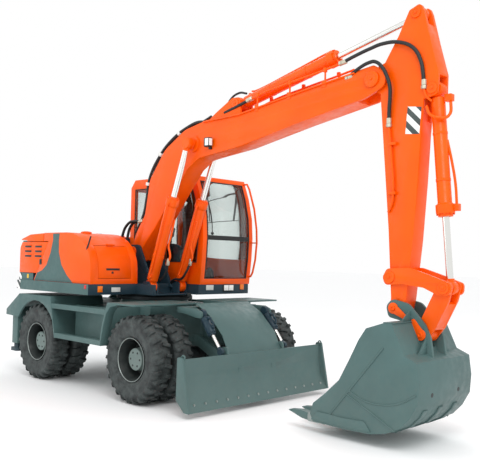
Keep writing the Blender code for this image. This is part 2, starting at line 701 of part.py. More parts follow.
def platform():
    """Deck with its skirts, the boom foot plates, the cylinder lugs and the engine bay frame."""
    tail_x = -1.60
    corner_y = 1.15
    outline = [
        (RIGHT_FRONT, -DECK_HALF), (RIGHT_FRONT, -0.50), (NOSE_FRONT, -0.50), (NOSE_FRONT, 0.21),
        (LEFT_FRONT, 0.21),
        (LEFT_FRONT, DECK_HALF, 0.05), (tail_x, DECK_HALF), (-1.70, corner_y), (-1.70, -corner_y),
        (tail_x, -DECK_HALF),
    ]
    deck = plan(outline, DECK_BOTTOM, DECK_TOP)
    well_half = BOOM_CYLINDER_Y + 0.085
    well_y = (ARM_PLANE - well_half, ARM_PLANE + well_half)
    well_x = (BOOM_CYLINDER_FOOT[0] - 0.115, NOSE_FRONT + 0.1)
    cut(deck, block(well_x, well_y, (DECK_BOTTOM + 0.015, DECK_TOP + 0.02)))
    pieces = [pin(BOOM_FOOT, BOOM_FOOT_BORE, ARM_PLANE - BOOM_HALF - 0.05, ARM_PLANE + BOOM_HALF + 0.05)]
    fx, fz = BOOM_FOOT
    foot_plate = [
        (-0.45, DECK_TOP - 0.05), (0.32, DECK_TOP - 0.05), (fx + 0.12, fz + 0.10, 0.08),
        (fx - 0.12, fz + 0.10, 0.08),
    ]
    plate_in = BOOM_HALF + CLEAR
    for hand in (-1, 1):
        near = ARM_PLANE + hand * plate_in
        pieces.append(side(foot_plate, *sorted((near, near + hand * BOOM_WALL))))
        centre = ARM_PLANE + hand * BOOM_CYLINDER_Y
        for lug_side in (-1, 1):
            face = centre + lug_side * LUG_OFFSET
            cx, cz = BOOM_CYLINDER_FOOT
            lug = [
                (cx - 0.10, DECK_BOTTOM + 0.005), (cx + 0.07, DECK_BOTTOM + 0.005),
                (cx + 0.07, cz + 0.07, 0.05), (cx - 0.08, cz + 0.07, 0.05),
            ]
            pieces.append(side(lug, *sorted((face, face + lug_side * LUG_THICK))))
    bulkhead_x = (BULKHEAD_REAR, BULKHEAD_REAR + BULKHEAD)
    pieces.append(
        block(bulkhead_x, (COVER_INNER + 0.01, BODY_SIDE - 0.02), (DECK_TOP - 0.02, BULKHEAD_TOP))
    )
    sill_front = {-1: COVER_NOTCH - 0.41, 1: bulkhead_x[1]}
    for hand in (-1, 1):
        sill_y = sorted((hand * BODY_SIDE, hand * (BODY_SIDE - PANEL)))
        pieces.append(block((DOOR_HINGE_X - 0.015, sill_front[hand]), sill_y, (DECK_TOP - 0.02, SILL_TOP)))
        seat = (DOOR_HINGE_X, hand * (BODY_SIDE - PANEL / 2))
        pieces.append(bar((*seat, SILL_TOP - 0.01), (*seat, SILL_TOP + DOOR_GAP - SLIDE), 0.013, 12))
    for y in HOOD_HINGES:
        pieces.append(bar(at(HOOD_HINGE, y), at(HOOD_HINGE, y + HINGE_LENGTH), HINGE_RADIUS, 12))
        stay_x = (BULKHEAD_REAR, BULKHEAD_REAR + HINGE_RADIUS)
        pieces.append(block(stay_x, (y, y + HINGE_LENGTH), (BULKHEAD_TOP - 0.02, HOOD_HINGE[1])))
    joined(deck, *pieces)
    sub_part("platform", deck, GREY_GREEN)


def counterweight():
    """Cast tail weight on the tail radius, with its upper rear edge rounded."""
    steps = 12
    reach = math.asin(COUNTERWEIGHT_HALF / TAIL_RADIUS)
    arc = []
    for step in range(steps + 1):
        angle = reach * (2 * step / steps - 1)
        arc.append((-TAIL_RADIUS * math.cos(angle), TAIL_RADIUS * math.sin(angle)))
    weight = plan(
        [(COUNTERWEIGHT_FRONT, -COUNTERWEIGHT_HALF)] + arc + [(COUNTERWEIGHT_FRONT, COUNTERWEIGHT_HALF)],
        DECK_BOTTOM, 1.965,
    )
    seat = block((-1.70 - GAP, -1.3), (-1.3, 1.3), (DECK_BOTTOM - 0.1, DECK_TOP + GAP))
    shoulder = side(
        [
            (-2.5, 1.62), (-2.09, 1.62), (-1.98, 1.85), (-1.80, 1.96), (-1.62, 1.97), (-1.62, 2.3),
            (-2.5, 2.3),
        ],
        -1.4, 1.4,
    )
    sub_part("counterweight", cut(weight, seat, shoulder), GREY_GREEN)


def engine():
    """The engine, as one block in its bay."""
    sub_part("engine_block", block((-1.44, -1.06), (-0.44, 0.76), (DECK_TOP + GAP, 1.86), 0.02), CAST)


def engine_hood():
    """Lid over the engine bay, hinged at its front edge."""
    front, rear = BULKHEAD_REAR - 0.012, -1.655
    lid = side(
        [
            (front, DOOR_TOP + 0.01), (front, HOOD_TOP - 0.005), (-1.40, HOOD_TOP - 0.02, 0.2),
            (rear, 1.985, 0.01), (rear, 1.97), (-1.49, 1.97), (-1.49, DOOR_TOP + 0.01),
        ],
        -BODY_SIDE, BODY_SIDE,
    )
    hollow = side(
        [
            (front - PANEL, DOOR_TOP - 0.05), (front - PANEL, HOOD_TOP - 0.04), (-1.40, HOOD_TOP - 0.06),
            (-1.455, HOOD_TOP - 0.07), (-1.455, DOOR_TOP - 0.05),
        ],
        -BODY_SIDE + PANEL, BODY_SIDE - PANEL,
    )
    hood = cut(lid, hollow)
    for y in HOOD_HINGES:
        near = y - SLIDE
        joined(hood, bar(at(HOOD_HINGE, near - HINGE_LENGTH), at(HOOD_HINGE, near), HINGE_RADIUS, 12))
        tab_z = (HOOD_TOP - 0.03, HOOD_HINGE[1])
        joined(hood, block((front - 0.03, front + 0.004), (near - HINGE_LENGTH, near), tab_z))
    sub_part("engine_hood", hood, ORANGE, at(HOOD_HINGE, 0))


def engine_door(name, hand, front, foot):
    """Side door of the engine bay, hinged at its rear edge on a boss of the sill."""
    rear, low = DOOR_HINGE_X - 0.014, SILL_TOP + DOOR_GAP
    outline = [
        (front, DOOR_TOP), (foot, low), (rear, low), (rear, DOOR_TOP - 0.08, 0.05), (rear + 0.06, DOOR_TOP),
    ]
    outer = hand * BODY_SIDE
    hinge = (DOOR_HINGE_X, outer - hand * PANEL / 2, low)
    sub_part(name, side(outline, *sorted((outer, outer - hand * PANEL))), ORANGE, hinge)


def cover_outline(inset):
    """Side outline of the right front cover, drawn in by an inset."""
    front, top, low = RIGHT_FRONT - inset, HOOD_TOP - inset, DECK_TOP + GAP + inset
    nose = [(front, low), (front - 0.005, 1.60)]
    steps = 7
    centre_x, centre_z = -0.40, 1.60
    for step in range(1, steps + 1):
        angle = math.pi / 2 * step / steps
        nose.append(
            (
                centre_x + (front - 0.005 - centre_x) * math.cos(angle),
                centre_z + (top - centre_z) * math.sin(angle),
            )
        )
    notch = DOOR_TOP + 0.012
    slant = inset * math.hypot(1, COVER_SLANT)
    return nose + [
        (COVER_REAR + inset, top), (COVER_REAR + inset, notch + inset),
        (COVER_NOTCH + slant + inset * COVER_SLANT, notch + inset),
        (COVER_NOTCH + slant - (notch - low) * COVER_SLANT, low),
    ]


def right_cover():
    """Hollow cover of the tank and tool space, and the door in its nose."""
    shell = side(cover_outline(0), -BODY_SIDE, COVER_INNER)
    cut(shell, side(cover_outline(PANEL), -BODY_SIDE + PANEL, COVER_INNER - PANEL))
    cut(shell, block((COVER_OPENING_REAR, 0.3), COVER_OPENING_Y, COVER_OPENING_Z))
    fixed, swinging = knuckles(at(COVER_HINGE, -0.90), at(COVER_HINGE, -0.78), HINGE_RADIUS, 0.5)
    stay = bar(at(COVER_HINGE, -0.87), (0.03, -0.87, 1.915), 0.010, 8)
    leaf = bar(at(COVER_HINGE, -0.81), (0.085, -0.81, 1.86), 0.010, 8)
    sub_part("right_cover", joined(shell, fixed, stay), ORANGE)
    seam = 0.004
    door = side(cover_outline(0), COVER_OPENING_Y[0] + seam, COVER_OPENING_Y[1] - seam)
    cut(door, side(cover_outline(PANEL), -1.2, -0.5))
    below = block((-1.5, 0.4), (-1.3, -0.4), (1.3, COVER_OPENING_Z[0] + 0.005))
    over = block((-1.5, 0.4), (-1.3, -0.4), (COVER_OPENING_Z[1] - 0.005, 2.2))
    behind = block((-1.5, COVER_OPENING_REAR + 0.005), (-1.3, -0.4), (1.3, 2.2))
    cut(door, below, over, behind)
    sub_part("right_cover_door", joined(door, swinging, leaf), ORANGE, at(COVER_HINGE, -0.84))


# ---------------------------------------------------------------- cab


def cab_outline(inset):
    """Side outline of the cab, drawn in by an inset."""
    front = [(0.68, CAB_FLOOR), (0.72, 1.75), (0.735, 2.05), (0.715, 2.35), (0.64, 2.65), (0.53, 2.93)]
    low, top = CAB_FLOOR + inset, CAB_ROOF - inset
    points = [(x - inset, min(max(z, low), top)) for x, z in front]
    return points + [
        (0.40 - inset, top), (CAB_REAR + inset + 0.10, top), (CAB_REAR + inset, top - 0.12),
        (CAB_REAR + inset, low),
    ]


def door_line(seam):
    """Outline of the doorway; with a seam, of the door that fills it."""
    rear, low, high = DOORWAY_REAR + seam, DOORWAY_SILL + seam, DOORWAY_HEAD - seam
    front = [(0.50, high), (0.60, 2.55), (0.65, 2.30), (0.665, 2.05), (0.62, low)]
    return [(rear, low), (rear, high)] + [(x - seam, z) for x, z in front]


def door_pane(seam):
    """Outline of the window in the door; with a seam, of the pane in it."""
    rear, low, high = DOORWAY_REAR + DOOR_FRAME + seam, 1.75 + seam, WINDOW_HEAD - seam
    front = [(0.46, high), (0.54, 2.53), (0.59, 2.29), (0.60, 2.05), (0.585, low)]
    return [(rear, low), (rear, high)] + [(x - seam, z) for x, z in front]


def side_pane(seam):
    """Outline of the right front window; with a seam, of the pane in it."""
    low, high = SIDE_SILL + seam, WINDOW_HEAD - seam
    front = [(0.46, high), (0.58, 2.5), (0.63, 2.1), (0.60, low)]
    return [(-0.10 + seam, low), (-0.10 + seam, high)] + [(x - seam, z) for x, z in front]


def cab():
    """Hollow cab with its window openings and doorway, its door and three of its panes."""
    right_wall = (CAB_RIGHT - 0.1, CAB_RIGHT + 0.1)
    left_wall = (CAB_LEFT - 0.1, CAB_LEFT + 0.1)
    shell = side(cab_outline(0), CAB_RIGHT, CAB_LEFT)
    cut(shell, side(cab_outline(CAB_WALL), CAB_RIGHT + CAB_WALL, CAB_LEFT - CAB_WALL))
    pane_y = (CAB_RIGHT + CAB_CORNER, CAB_LEFT - CAB_CORNER)
    cut(shell, block((0.40, 0.9), pane_y, (FRONT_SILL, DOORWAY_HEAD)))
    right_rear = [
        (-0.86, REAR_SIDE_SILL), (-0.86, WINDOW_HEAD), (-0.18, WINDOW_HEAD), (-0.18, 1.75), (-0.5, 1.75),
    ]
    cut(shell, side(right_rear, *right_wall))
    cut(shell, side(side_pane(0), *right_wall))
    cut(shell, block((CAB_REAR - 0.1, CAB_REAR + 0.1), (0.36, 1.14), (2.10, 2.78)))
    left_rear = [
        (-0.86, REAR_SIDE_SILL), (-0.86, WINDOW_HEAD), (-0.36, WINDOW_HEAD), (-0.36, REAR_SIDE_SILL),
    ]
    cut(shell, side(left_rear, *left_wall))
    cut(shell, side(door_line(0), *left_wall))
    hinge = (DOORWAY_REAR + DOOR_SEAM / 2, CAB_LEFT + 0.0095, 1.9)
    fixed, swinging = [], []
    for z in (1.60, 2.72):
        pair = knuckles((hinge[0], hinge[1], z), (hinge[0], hinge[1], z + 0.12), 0.008, 0.5)
        leaf_y = (CAB_LEFT - 0.01, hinge[1])
        fixed += [pair[0], block((hinge[0] - 0.03, hinge[0]), leaf_y, (z, z + 0.06 - SLIDE / 2))]
        swinging += [pair[1], block((hinge[0], hinge[0] + 0.03), leaf_y, (z + 0.06 + SLIDE / 2, z + 0.12))]
    sub_part("cab_shell", joined(shell, *fixed), ORANGE)
    door = side(door_line(DOOR_SEAM), CAB_LEFT - CAB_WALL + 0.003, CAB_LEFT)
    cut(door, side(door_pane(0), *left_wall))
    joined(door, *swinging)
    sub_part("cab_door", door, ORANGE, hinge)
    glass_y = CAB_LEFT - 0.025
    sub_part("door_glass", side(door_pane(GAP), glass_y, glass_y + GLASS), CLEAR_GLASS, hinge)
    front = side(cab_outline(GLASS_INSET), pane_y[0] + GAP, pane_y[1] - GAP)
    cut(front, side(cab_outline(GLASS_INSET + GLASS), 0, 2))
    below = block((-1.2, 1), (0, 2), (1, FRONT_SILL + GAP))
    over = block((-1.2, 1), (0, 2), (DOORWAY_HEAD - GAP, 3.2))
    behind = block((-1.2, 0.2), (0, 2), (1, 3.2))
    cut(front, below, over, behind)
    sub_part("front_glass", front, CLEAR_GLASS)
    glass_y = CAB_RIGHT + 0.01
    sub_part("right_glass", side(side_pane(GAP), glass_y, glass_y + GLASS), CLEAR_GLASS)


def seat():
    """Operator's seat on its base, with the two armrest consoles."""
    floor = CAB_FLOOR + CAB_WALL + GAP
    base = block((-0.62, -0.12), (0.55, 0.97), (floor, 1.74), 0.03)
    cushion = block((-0.66, -0.08), (0.50, 1.02), (1.73, 1.87), 0.04)
    back = side(
        [
            (-0.64, 1.80), (-0.80, 2.42), (-0.78, 2.60, 0.03), (-0.68, 2.60, 0.03), (-0.66, 2.42),
            (-0.50, 1.82),
        ],
        0.53, 0.99,
    )
    sub_part("seat", joined(base, cushion, back), SEAT_CLOTH)
    console = block((-0.50, 0.02), (0.335, 0.47), (floor, 1.98), 0.03)
    sub_part("console", console, DARK_GREY)


def handrail():
    """Grab rail in front of the cab's left corner post, on three brackets."""
    y = CAB_LEFT - 0.035
    route = [
        (0.5562, 2.88), (0.63, 2.88), (0.68, 2.80), (0.79, 2.50), (0.845, 2.20), (0.855, 2.00),
        (0.83, 1.75),
        (0.78, 1.56), (0.74, 1.50), (0.694, 1.50),
    ]
    curve = bpy.data.curves.new("rail", "CURVE")
    curve.dimensions = "3D"
    curve.bevel_depth = 0.015
    curve.bevel_resolution = 1
    curve.use_fill_caps = True
    spline = curve.splines.new("POLY")
    spline.points.add(len(route) - 1)
    for point, (x, z) in zip(spline.points, route):
        point.co = (x, y, z, 1)
    rail = meshed(place(curve))
    stay = bar((0.7336, y, 2.00), (0.855, y, 2.00), 0.009, 8)
    sub_part("handrail", joined(rail, stay), ORANGE)


# ---------------------------------------------------------------- working arm


def boom():
    """Gooseneck box with a fork at its tip, a bored foot and the stick cylinder's bracket."""
    near, far = ARM_PLANE - BOOM_HALF, ARM_PLANE + BOOM_HALF
    tx, tz = BOOM_TIP
    outline = [
        (-0.165, 1.70, 0.03), (-0.26, 1.855, 0.05), (-0.13, 2.113), (0.05, 2.351), (0.10, 2.60),
        (0.144, 2.841, 0.2), (0.462, 3.234, 0.4),
        (0.877, 3.462, 0.4), (1.30, 3.54), (1.912, 3.545), (2.867, 3.671), (tx + 0.02, tz + 0.145, 0.05),
        (tx + 0.165, tz + 0.04, 0.08),
        (tx + 0.15, tz - 0.09, 0.08), (3.74, 3.455), (2.876, 3.317), (1.924, 3.142), (1.419, 3.09, 0.3),
        (1.16, 3.06, 0.2), (0.956, 2.94),
        (0.619, 2.565), (0.286, 2.163), (0.022, 1.90), (-0.06, 1.70, 0.04),
    ]
    body = side(outline, near, far)
    pieces = []
    sx, sz = STICK_CYLINDER_FOOT
    for hand in (-1, 1):
        face = ARM_PLANE + hand * 0.085
        bracket = [
            (1.25, 3.50), (1.45, 3.62), (sx - 0.06, sz + 0.075, 0.05), (sx + 0.08, sz + 0.07, 0.06),
            (sx + 0.10, 3.50),
        ]
        pieces.append(side(bracket, *sorted((face, face + hand * 0.03))))
        boss = ARM_PLANE + hand * (BOOM_HALF + 0.03)
        pieces.append(disc(BOOM_CYLINDER_EYE, 0.11, *sorted((boss, boss - hand * 0.05)), 20))
    joined(body, *pieces)
    fork = [(tx - 0.20, tz + 0.3), (tx - 0.20, tz - 0.35), (tx + 0.3, tz - 0.35), (tx + 0.3, tz + 0.3)]
    gap = STICK_HALF + CLEAR
    for centre, bore in ((BOOM_TIP, BOOM_TIP_BORE), (BOOM_FOOT, BOOM_FOOT_BORE)):
        cut(body, disc(centre, bore, near - 0.1, far + 0.1, PIN_SIDES))
    cut(body, side(fork, ARM_PLANE - gap, ARM_PLANE + gap))
    eye_pin = disc(BOOM_CYLINDER_EYE, 0.04, near - 0.06, far + 0.06, PIN_SIDES)
    joined(body, eye_pin)
    sub_part("boom", body, ORANGE, at(BOOM_FOOT, ARM_PLANE))


def stick():
    """Tapered box from the stick cylinder's fork down to the bucket pin."""
    near, far = ARM_PLANE - STICK_HALF, ARM_PLANE + STICK_HALF
    ex, ez = STICK_CYLINDER_EYE
    bx, bz = BUCKET_PIN
    outline = [
        (ex - 0.075, ez + 0.04, 0.03), (4.118, 4.038), (3.945, 3.767), (3.915, 3.459), (3.973, 2.795),
        (4.031, 2.082), (bx - 0.055, 1.40),
        (bx - 0.075, bz - 0.06, 0.06), (bx + 0.075, bz - 0.06, 0.06), (4.236, 1.391), (4.306, 1.98),
        (4.353, 2.565), (4.38, 3.014), (4.408, 3.36),
        (4.56, 3.385, 0.05), (4.565, 3.60), (4.477, 3.921), (ex + 0.085, ez, 0.04),
        (ex + 0.05, ez + 0.085, 0.04),
    ]
    body = side(outline, near, far)
    tx, tz = BOOM_TIP
    lug = side(
        [
            (tx - 0.03, tz - 0.11, 0.09), (tx - 0.11, tz, 0.09), (tx - 0.03, tz + 0.11, 0.09), (4.05, 3.82),
            (4.05, 3.42),
        ],
        near + 0.001, far - 0.001,
    )
    boss = disc(ROCKER_PIN, 0.07, near + 0.002, far - 0.002)
    joined(body, lug, boss)
    cut(body, block((ex - 0.16, ex + 0.3), (ARM_PLANE - 0.06, ARM_PLANE + 0.06), (ez - 0.13, ez + 0.3)))
    hx, hz = BUCKET_CYLINDER_FOOT
    cut(body, block((hx - 0.13, hx + 0.3), (ARM_PLANE - 0.07, ARM_PLANE + 0.07), (hz - 0.3, hz + 0.13)))
    for centre, bore in ((ROCKER_PIN, ROCKER_BORE), (BUCKET_PIN, BUCKET_BORE)):
        cut(body, disc(centre, bore, near - 0.1, far + 0.1, PIN_SIDES))
    joined(body, pin(BOOM_TIP, BOOM_TIP_BORE, ARM_PLANE - BOOM_HALF - 0.012, ARM_PLANE + BOOM_HALF + 0.012))
    sub_part("stick", body, ORANGE, at(BOOM_TIP, ARM_PLANE))


def rocker():
    """Pair of curved tipping links on the pin through the stick."""
    ax, az = ROCKER_PIN
    bx, bz = BUCKET_CYLINDER_EYE
    outline = [
        (ax - 0.08, az + 0.0, 0.05), (ax - 0.03, az + 0.085, 0.05), (ax + 0.22, az + 0.10, 0.1),
        (ax + 0.42, az + 0.04, 0.1), (bx + 0.075, bz + 0.045, 0.04),
        (bx + 0.07, bz - 0.07, 0.05), (bx - 0.06, bz - 0.07, 0.04), (ax + 0.38, az - 0.09, 0.1),
        (ax + 0.15, az - 0.065, 0.1), (ax - 0.05, az - 0.08, 0.05),
    ]
    near = STICK_HALF + CLEAR
    plates = [
        side(
            outline, *sorted((ARM_PLANE + hand * near, ARM_PLANE + hand * (near + 0.03)))
        ) for hand in (-1, 1)
    ]
    for plate in plates:
        cut(plate, disc(BUCKET_CYLINDER_EYE, LINK_BORE, -1, 1, PIN_SIDES))
    shaft = pin(ROCKER_PIN, ROCKER_BORE, ARM_PLANE - near - 0.04, ARM_PLANE + near + 0.04)
    sub_part("rocker", joined(plates[0], shaft, plates[1]), ORANGE, at(ROCKER_PIN, ARM_PLANE))


def bucket_link():
    """Box link from the rocker down to the bucket's second pin."""
    top, low = Vector(BUCKET_CYLINDER_EYE), Vector(LINK_PIN)
    down = (low - top).normalized()
    across = Vector((-down.y, down.x))
    outer = STICK_HALF

    def point(distance, shift):
        spot = top + down * distance + across * shift
        return (spot.x, spot.y)

    length = (low - top).length
    cheek = [
        (*point(-0.07, -0.05), 0.05), (*point(-0.07, 0.05), 0.05), point(0.10, 0.085),
        point(length - 0.12, 0.085), (*point(length + 0.07, 0.05), 0.05),
        (*point(length + 0.07, -0.05), 0.05), point(length - 0.12, -0.085), point(0.10, -0.085),
    ]
    plates = [
        side(
            cheek, *sorted((ARM_PLANE + hand * outer, ARM_PLANE + hand * (outer - 0.03)))
        ) for hand in (-1, 1)
    ]
    web = side(
        [
            point(0.13, -0.083), point(0.13, 0.083), point(length - 0.10, 0.083),
            point(length - 0.10, -0.083),
        ],
        ARM_PLANE - outer + 0.01, ARM_PLANE + outer - 0.01,
    )
    boss = disc(LINK_PIN, 0.06, ARM_PLANE - outer + 0.001, ARM_PLANE + outer - 0.001)
    pieces = [web, boss, plates[1]]
    for hand in (-1, 1):
        stub = sorted((ARM_PLANE + hand * (outer - 0.02), ARM_PLANE + hand * (outer + CLEAR + 0.045)))
        pieces.append(pin(BUCKET_CYLINDER_EYE, LINK_BORE, *stub))
    sub_part("bucket_link", joined(plates[0], *pieces), ORANGE, at(BUCKET_CYLINDER_EYE, ARM_PLANE))


def bucket():
    """Backhoe bucket: rolled shell, side plates, hinge ears, cutting edge and five teeth."""
    near, far = ARM_PLANE - BUCKET_WIDTH / 2, ARM_PLANE + BUCKET_WIDTH / 2
    back = [
        (4.335, 1.185), (4.47, 0.905), (4.605, 0.85), (4.63, 0.66), (4.615, 0.48), (4.535, 0.34),
        (4.435, 0.235),
        (4.28, 0.16), (4.115, 0.125), (3.825, 0.115), (3.42, 0.125),
    ]
    mouth = [
        (3.38, 0.20), (3.42, 0.31), (3.56, 0.42), (3.74, 0.585), (3.86, 0.80), (3.965, 1.0), (4.05, 1.12),
    ]
    shell = side(back + mouth + [(4.245, 1.185)], near, far)
    hollow = [
        (3.0, 0.150), (3.825, 0.142), (4.11, 0.152), (4.27, 0.186), (4.415, 0.258), (4.51, 0.36),
        (4.588, 0.49),
        (4.602, 0.66), (4.57, 0.80), (4.40, 0.865), (4.258, 1.155), (4.24, 1.40), (3.0, 1.40),
    ]
    cheek = 0.025
    recess = [(4.28, 1.25), (4.283, 1.17), (4.422, 0.887), (4.60, 1.25)]
    inside = STICK_HALF + CLEAR
    recess_half = inside - 0.002
    cut(shell, side(hollow, near + cheek, far - cheek))
    cut(shell, side(recess, ARM_PLANE - recess_half, ARM_PLANE + recess_half))
    pieces = []
    ax, az = BUCKET_PIN
    lx, lz = LINK_PIN
    ear = [
        (ax - 0.085, az + 0.02, 0.06), (ax - 0.02, az + 0.09, 0.07), (ax + 0.16, az + 0.055, 0.1),
        (lx + 0.04, lz + 0.10, 0.1), (lx + 0.10, lz - 0.02, 0.06),
        (4.56, 0.862), (4.47, 0.895), (4.335, 1.175), (4.27, 1.175), (ax - 0.06, az - 0.09, 0.05),
    ]
    for hand in (-1, 1):
        pieces.append(
            side(ear, *sorted((ARM_PLANE + hand * inside, ARM_PLANE + hand * (inside + EAR_THICK))))
        )
    reach = inside + EAR_THICK + 0.012
    pieces.append(pin(BUCKET_PIN, BUCKET_BORE, ARM_PLANE - reach, ARM_PLANE + reach))
    teeth = 5
    pitch = (BUCKET_WIDTH - 0.14) / (teeth - 1)
    tooth = [(3.46, 0.105), (3.25, 0.125), (3.075, 0.178), (3.075, 0.186), (3.25, 0.205), (3.46, 0.165)]
    for i in range(teeth):
        y = near + 0.07 + i * pitch
        pieces.append(side(tooth, y - 0.042, y + 0.042))
    joined(shell, *pieces)
    for hand in (-1, 1):
        y = ARM_PLANE + hand * (inside + EAR_THICK / 2)
        cut(shell, disc(LINK_PIN, 0.03, y - 0.05, y + 0.05))
    sub_part("bucket", shell, GREY_GREEN, at(BUCKET_PIN, ARM_PLANE))


def arm_cylinders():
    """The twin boom cylinders, the stick cylinder and the bucket cylinder."""
    for name, hand in (("right", -1), ("left", 1)):
        names = (f"{name}_boom_cylinder", f"{name}_boom_rod")
        y = ARM_PLANE + hand * BOOM_CYLINDER_Y
        size = (1.27, 0.075, 0.088, 0.038, 0.46, 1.06)
        cylinder(names, BOOM_CYLINDER_FOOT, BOOM_CYLINDER_EYE, y, size, 0.055 - SLIDE, 0.045)
    names = ("stick_cylinder", "stick_rod")
    size = (1.52, 0.075, 0.095, 0.036, 0.16, 1.0)
    cylinder(names, STICK_CYLINDER_FOOT, STICK_CYLINDER_EYE, ARM_PLANE, size, 0.085 - SLIDE, 0.045)
    names = ("bucket_cylinder", "bucket_rod")
    size = (1.24, 0.068, 0.09, 0.034, 0.33, 0.95)
    cylinder(names, BUCKET_CYLINDER_FOOT, BUCKET_CYLINDER_EYE, ARM_PLANE, size, 0.07 - SLIDE, 0.05)


def centre_length():
    """Moves the machine so that the middle of its length is at x = 0."""
    bpy.context.view_layer.update()
    graph = bpy.context.evaluated_depsgraph_get()
    reach = []
    for piece in parts.objects:
        if piece.type == "MESH":
            evaluated = piece.evaluated_get(graph)
            reach += [(evaluated.matrix_world @ Vector(corner)).x for corner in evaluated.bound_box]
    machine.location.x = -(min(reach) + max(reach)) / 2


for old in list(bpy.data.objects):
    bpy.data.objects.remove(old)
parts = bpy.data.collections.new("wheeled excavator")
helpers = bpy.data.collections.new("cutters")
bpy.context.scene.collection.children.link(parts)
bpy.context.scene.collection.children.link(helpers)
machine = bpy.data.objects.new("machine", None)
parts.objects.link(machine)

chassis_frame()
slew_ring()
fenders("right_fenders", -1)
fenders("left_fenders", 1)
front_axle()
rear_axle()
knuckle("right_knuckle", -1)
knuckle("left_knuckle", 1)
for end, wheel_x in (("front", WHEELBASE / 2), ("rear", -WHEELBASE / 2)):
    wheel(f"{end}_right", wheel_x, -1)
    wheel(f"{end}_left", wheel_x, 1)
blade()
stabiliser_foot("right_stabiliser_foot", -1)
stabiliser_foot("left_stabiliser_foot", 1)
platform()
counterweight()
engine()
engine_hood()
right_edge, left_edge = COVER_NOTCH - 0.015, BULKHEAD_REAR - 0.012
engine_door("right_engine_door", -1, right_edge, right_edge - (DOOR_TOP - SILL_TOP) * COVER_SLANT)
engine_door("left_engine_door", 1, left_edge, left_edge)
right_cover()
cab()
seat()
handrail()
boom()
arm_cylinders()
stick()
rocker()
bucket_link()
bucket()
centre_length()
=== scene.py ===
import json
import math
from contextlib import contextmanager

import bpy
from mathutils import Matrix, Vector


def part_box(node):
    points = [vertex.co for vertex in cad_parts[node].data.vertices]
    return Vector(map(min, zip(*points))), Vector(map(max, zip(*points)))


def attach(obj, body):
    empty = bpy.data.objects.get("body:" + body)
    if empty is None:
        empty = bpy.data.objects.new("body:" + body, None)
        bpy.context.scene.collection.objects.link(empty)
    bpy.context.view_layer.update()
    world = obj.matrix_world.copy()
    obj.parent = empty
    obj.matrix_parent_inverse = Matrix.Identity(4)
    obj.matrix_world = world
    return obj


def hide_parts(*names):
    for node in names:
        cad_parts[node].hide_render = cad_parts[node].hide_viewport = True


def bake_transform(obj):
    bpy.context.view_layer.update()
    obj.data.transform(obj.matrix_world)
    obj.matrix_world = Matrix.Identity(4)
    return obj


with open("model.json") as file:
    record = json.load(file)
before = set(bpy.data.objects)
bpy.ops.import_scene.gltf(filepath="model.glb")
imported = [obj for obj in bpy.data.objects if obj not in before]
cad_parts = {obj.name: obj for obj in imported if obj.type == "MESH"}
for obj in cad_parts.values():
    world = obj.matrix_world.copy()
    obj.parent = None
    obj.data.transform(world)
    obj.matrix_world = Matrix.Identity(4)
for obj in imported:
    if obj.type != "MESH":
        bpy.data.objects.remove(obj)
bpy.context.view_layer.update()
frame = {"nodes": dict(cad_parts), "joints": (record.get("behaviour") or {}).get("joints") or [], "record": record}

# Standpoint and studio. The machine stands on a white floor under soft panels, and is seen from
# its right front corner. Every place below is given from the slewing axis, so one function
# brings it into the frame.
SLEW_X = next(joint["pos_m"][0] for joint in frame["joints"] if joint["name"] == "slew")


def spot(x, y, z):
    """A place that is given from the slewing axis, in the frame's coordinates."""
    return Vector((x + SLEW_X, y, z))


def set_at(x, y, z):
    """The move from the origin to a place that is given from the slewing axis."""
    return Matrix.Translation(spot(x, y, z))


def turn_by(degrees, axis):
    """The turn about an axis through the origin."""
    return Matrix.Rotation(math.radians(degrees), 4, axis)


bpy.ops.object.select_all(action="DESELECT")
YAW, PITCH, ROLL = math.radians(135.01), math.radians(2.17), math.radians(1.23)
ahead = Vector((math.cos(YAW) * math.cos(PITCH), math.sin(YAW) * math.cos(PITCH), math.sin(PITCH)))
level = ahead.cross(Vector((0, 0, 1))).normalized()
above = level.cross(ahead)
right = level * math.cos(ROLL) + above * math.sin(ROLL)
upward = above * math.cos(ROLL) - level * math.sin(ROLL)
bpy.ops.object.camera_add(location=spot(7.876, -6.168, 1.757))
camera = bpy.context.object
camera.rotation_mode = "QUATERNION"
camera.rotation_quaternion = Matrix((right, upward, -ahead)).transposed().to_quaternion()
camera.data.lens = 51.67
camera.data.clip_end = 200
bpy.context.scene.camera = camera

bpy.ops.mesh.primitive_plane_add(size=160, location=(0, 0, -0.001))
floor = bpy.context.object
floor.name = "floor"
paper = bpy.data.materials.new("studio paper")
paper.use_nodes = True
paper.node_tree.nodes["Principled BSDF"].inputs["Base Color"].default_value = (0.97, 0.975, 0.98, 1)
paper.node_tree.nodes["Principled BSDF"].inputs["Roughness"].default_value = 0.9
floor.data.materials.append(paper)

world = bpy.data.worlds.new("studio")
bpy.context.scene.world = world
world.use_nodes = True
world.node_tree.nodes["Background"].inputs["Color"].default_value = (1.0, 1.0, 1.0, 1)
world.node_tree.nodes["Background"].inputs["Strength"].default_value = 1.0
bpy.context.scene.view_settings.view_transform = "Standard"


def softbox(name, place, target, size, power):
    """A square panel lamp turned towards a target."""
    bpy.ops.object.light_add(type="AREA", location=place)
    lamp = bpy.context.object
    lamp.name = name
    lamp.rotation_euler = (Vector(target) - Vector(place)).to_track_quat("-Z", "Y").to_euler()
    lamp.data.size = size
    lamp.data.energy = power


softbox("key panel", (8.0, -6.0, 10.0), (0, 0, 1.5), 5.0, 520)
softbox("side panel", (-6.0, -9.0, 5.0), (0, 0, 1.5), 6.0, 120)
softbox("back panel", (-4.0, 8.0, 9.0), (0, 0, 2.0), 7.0, 200)

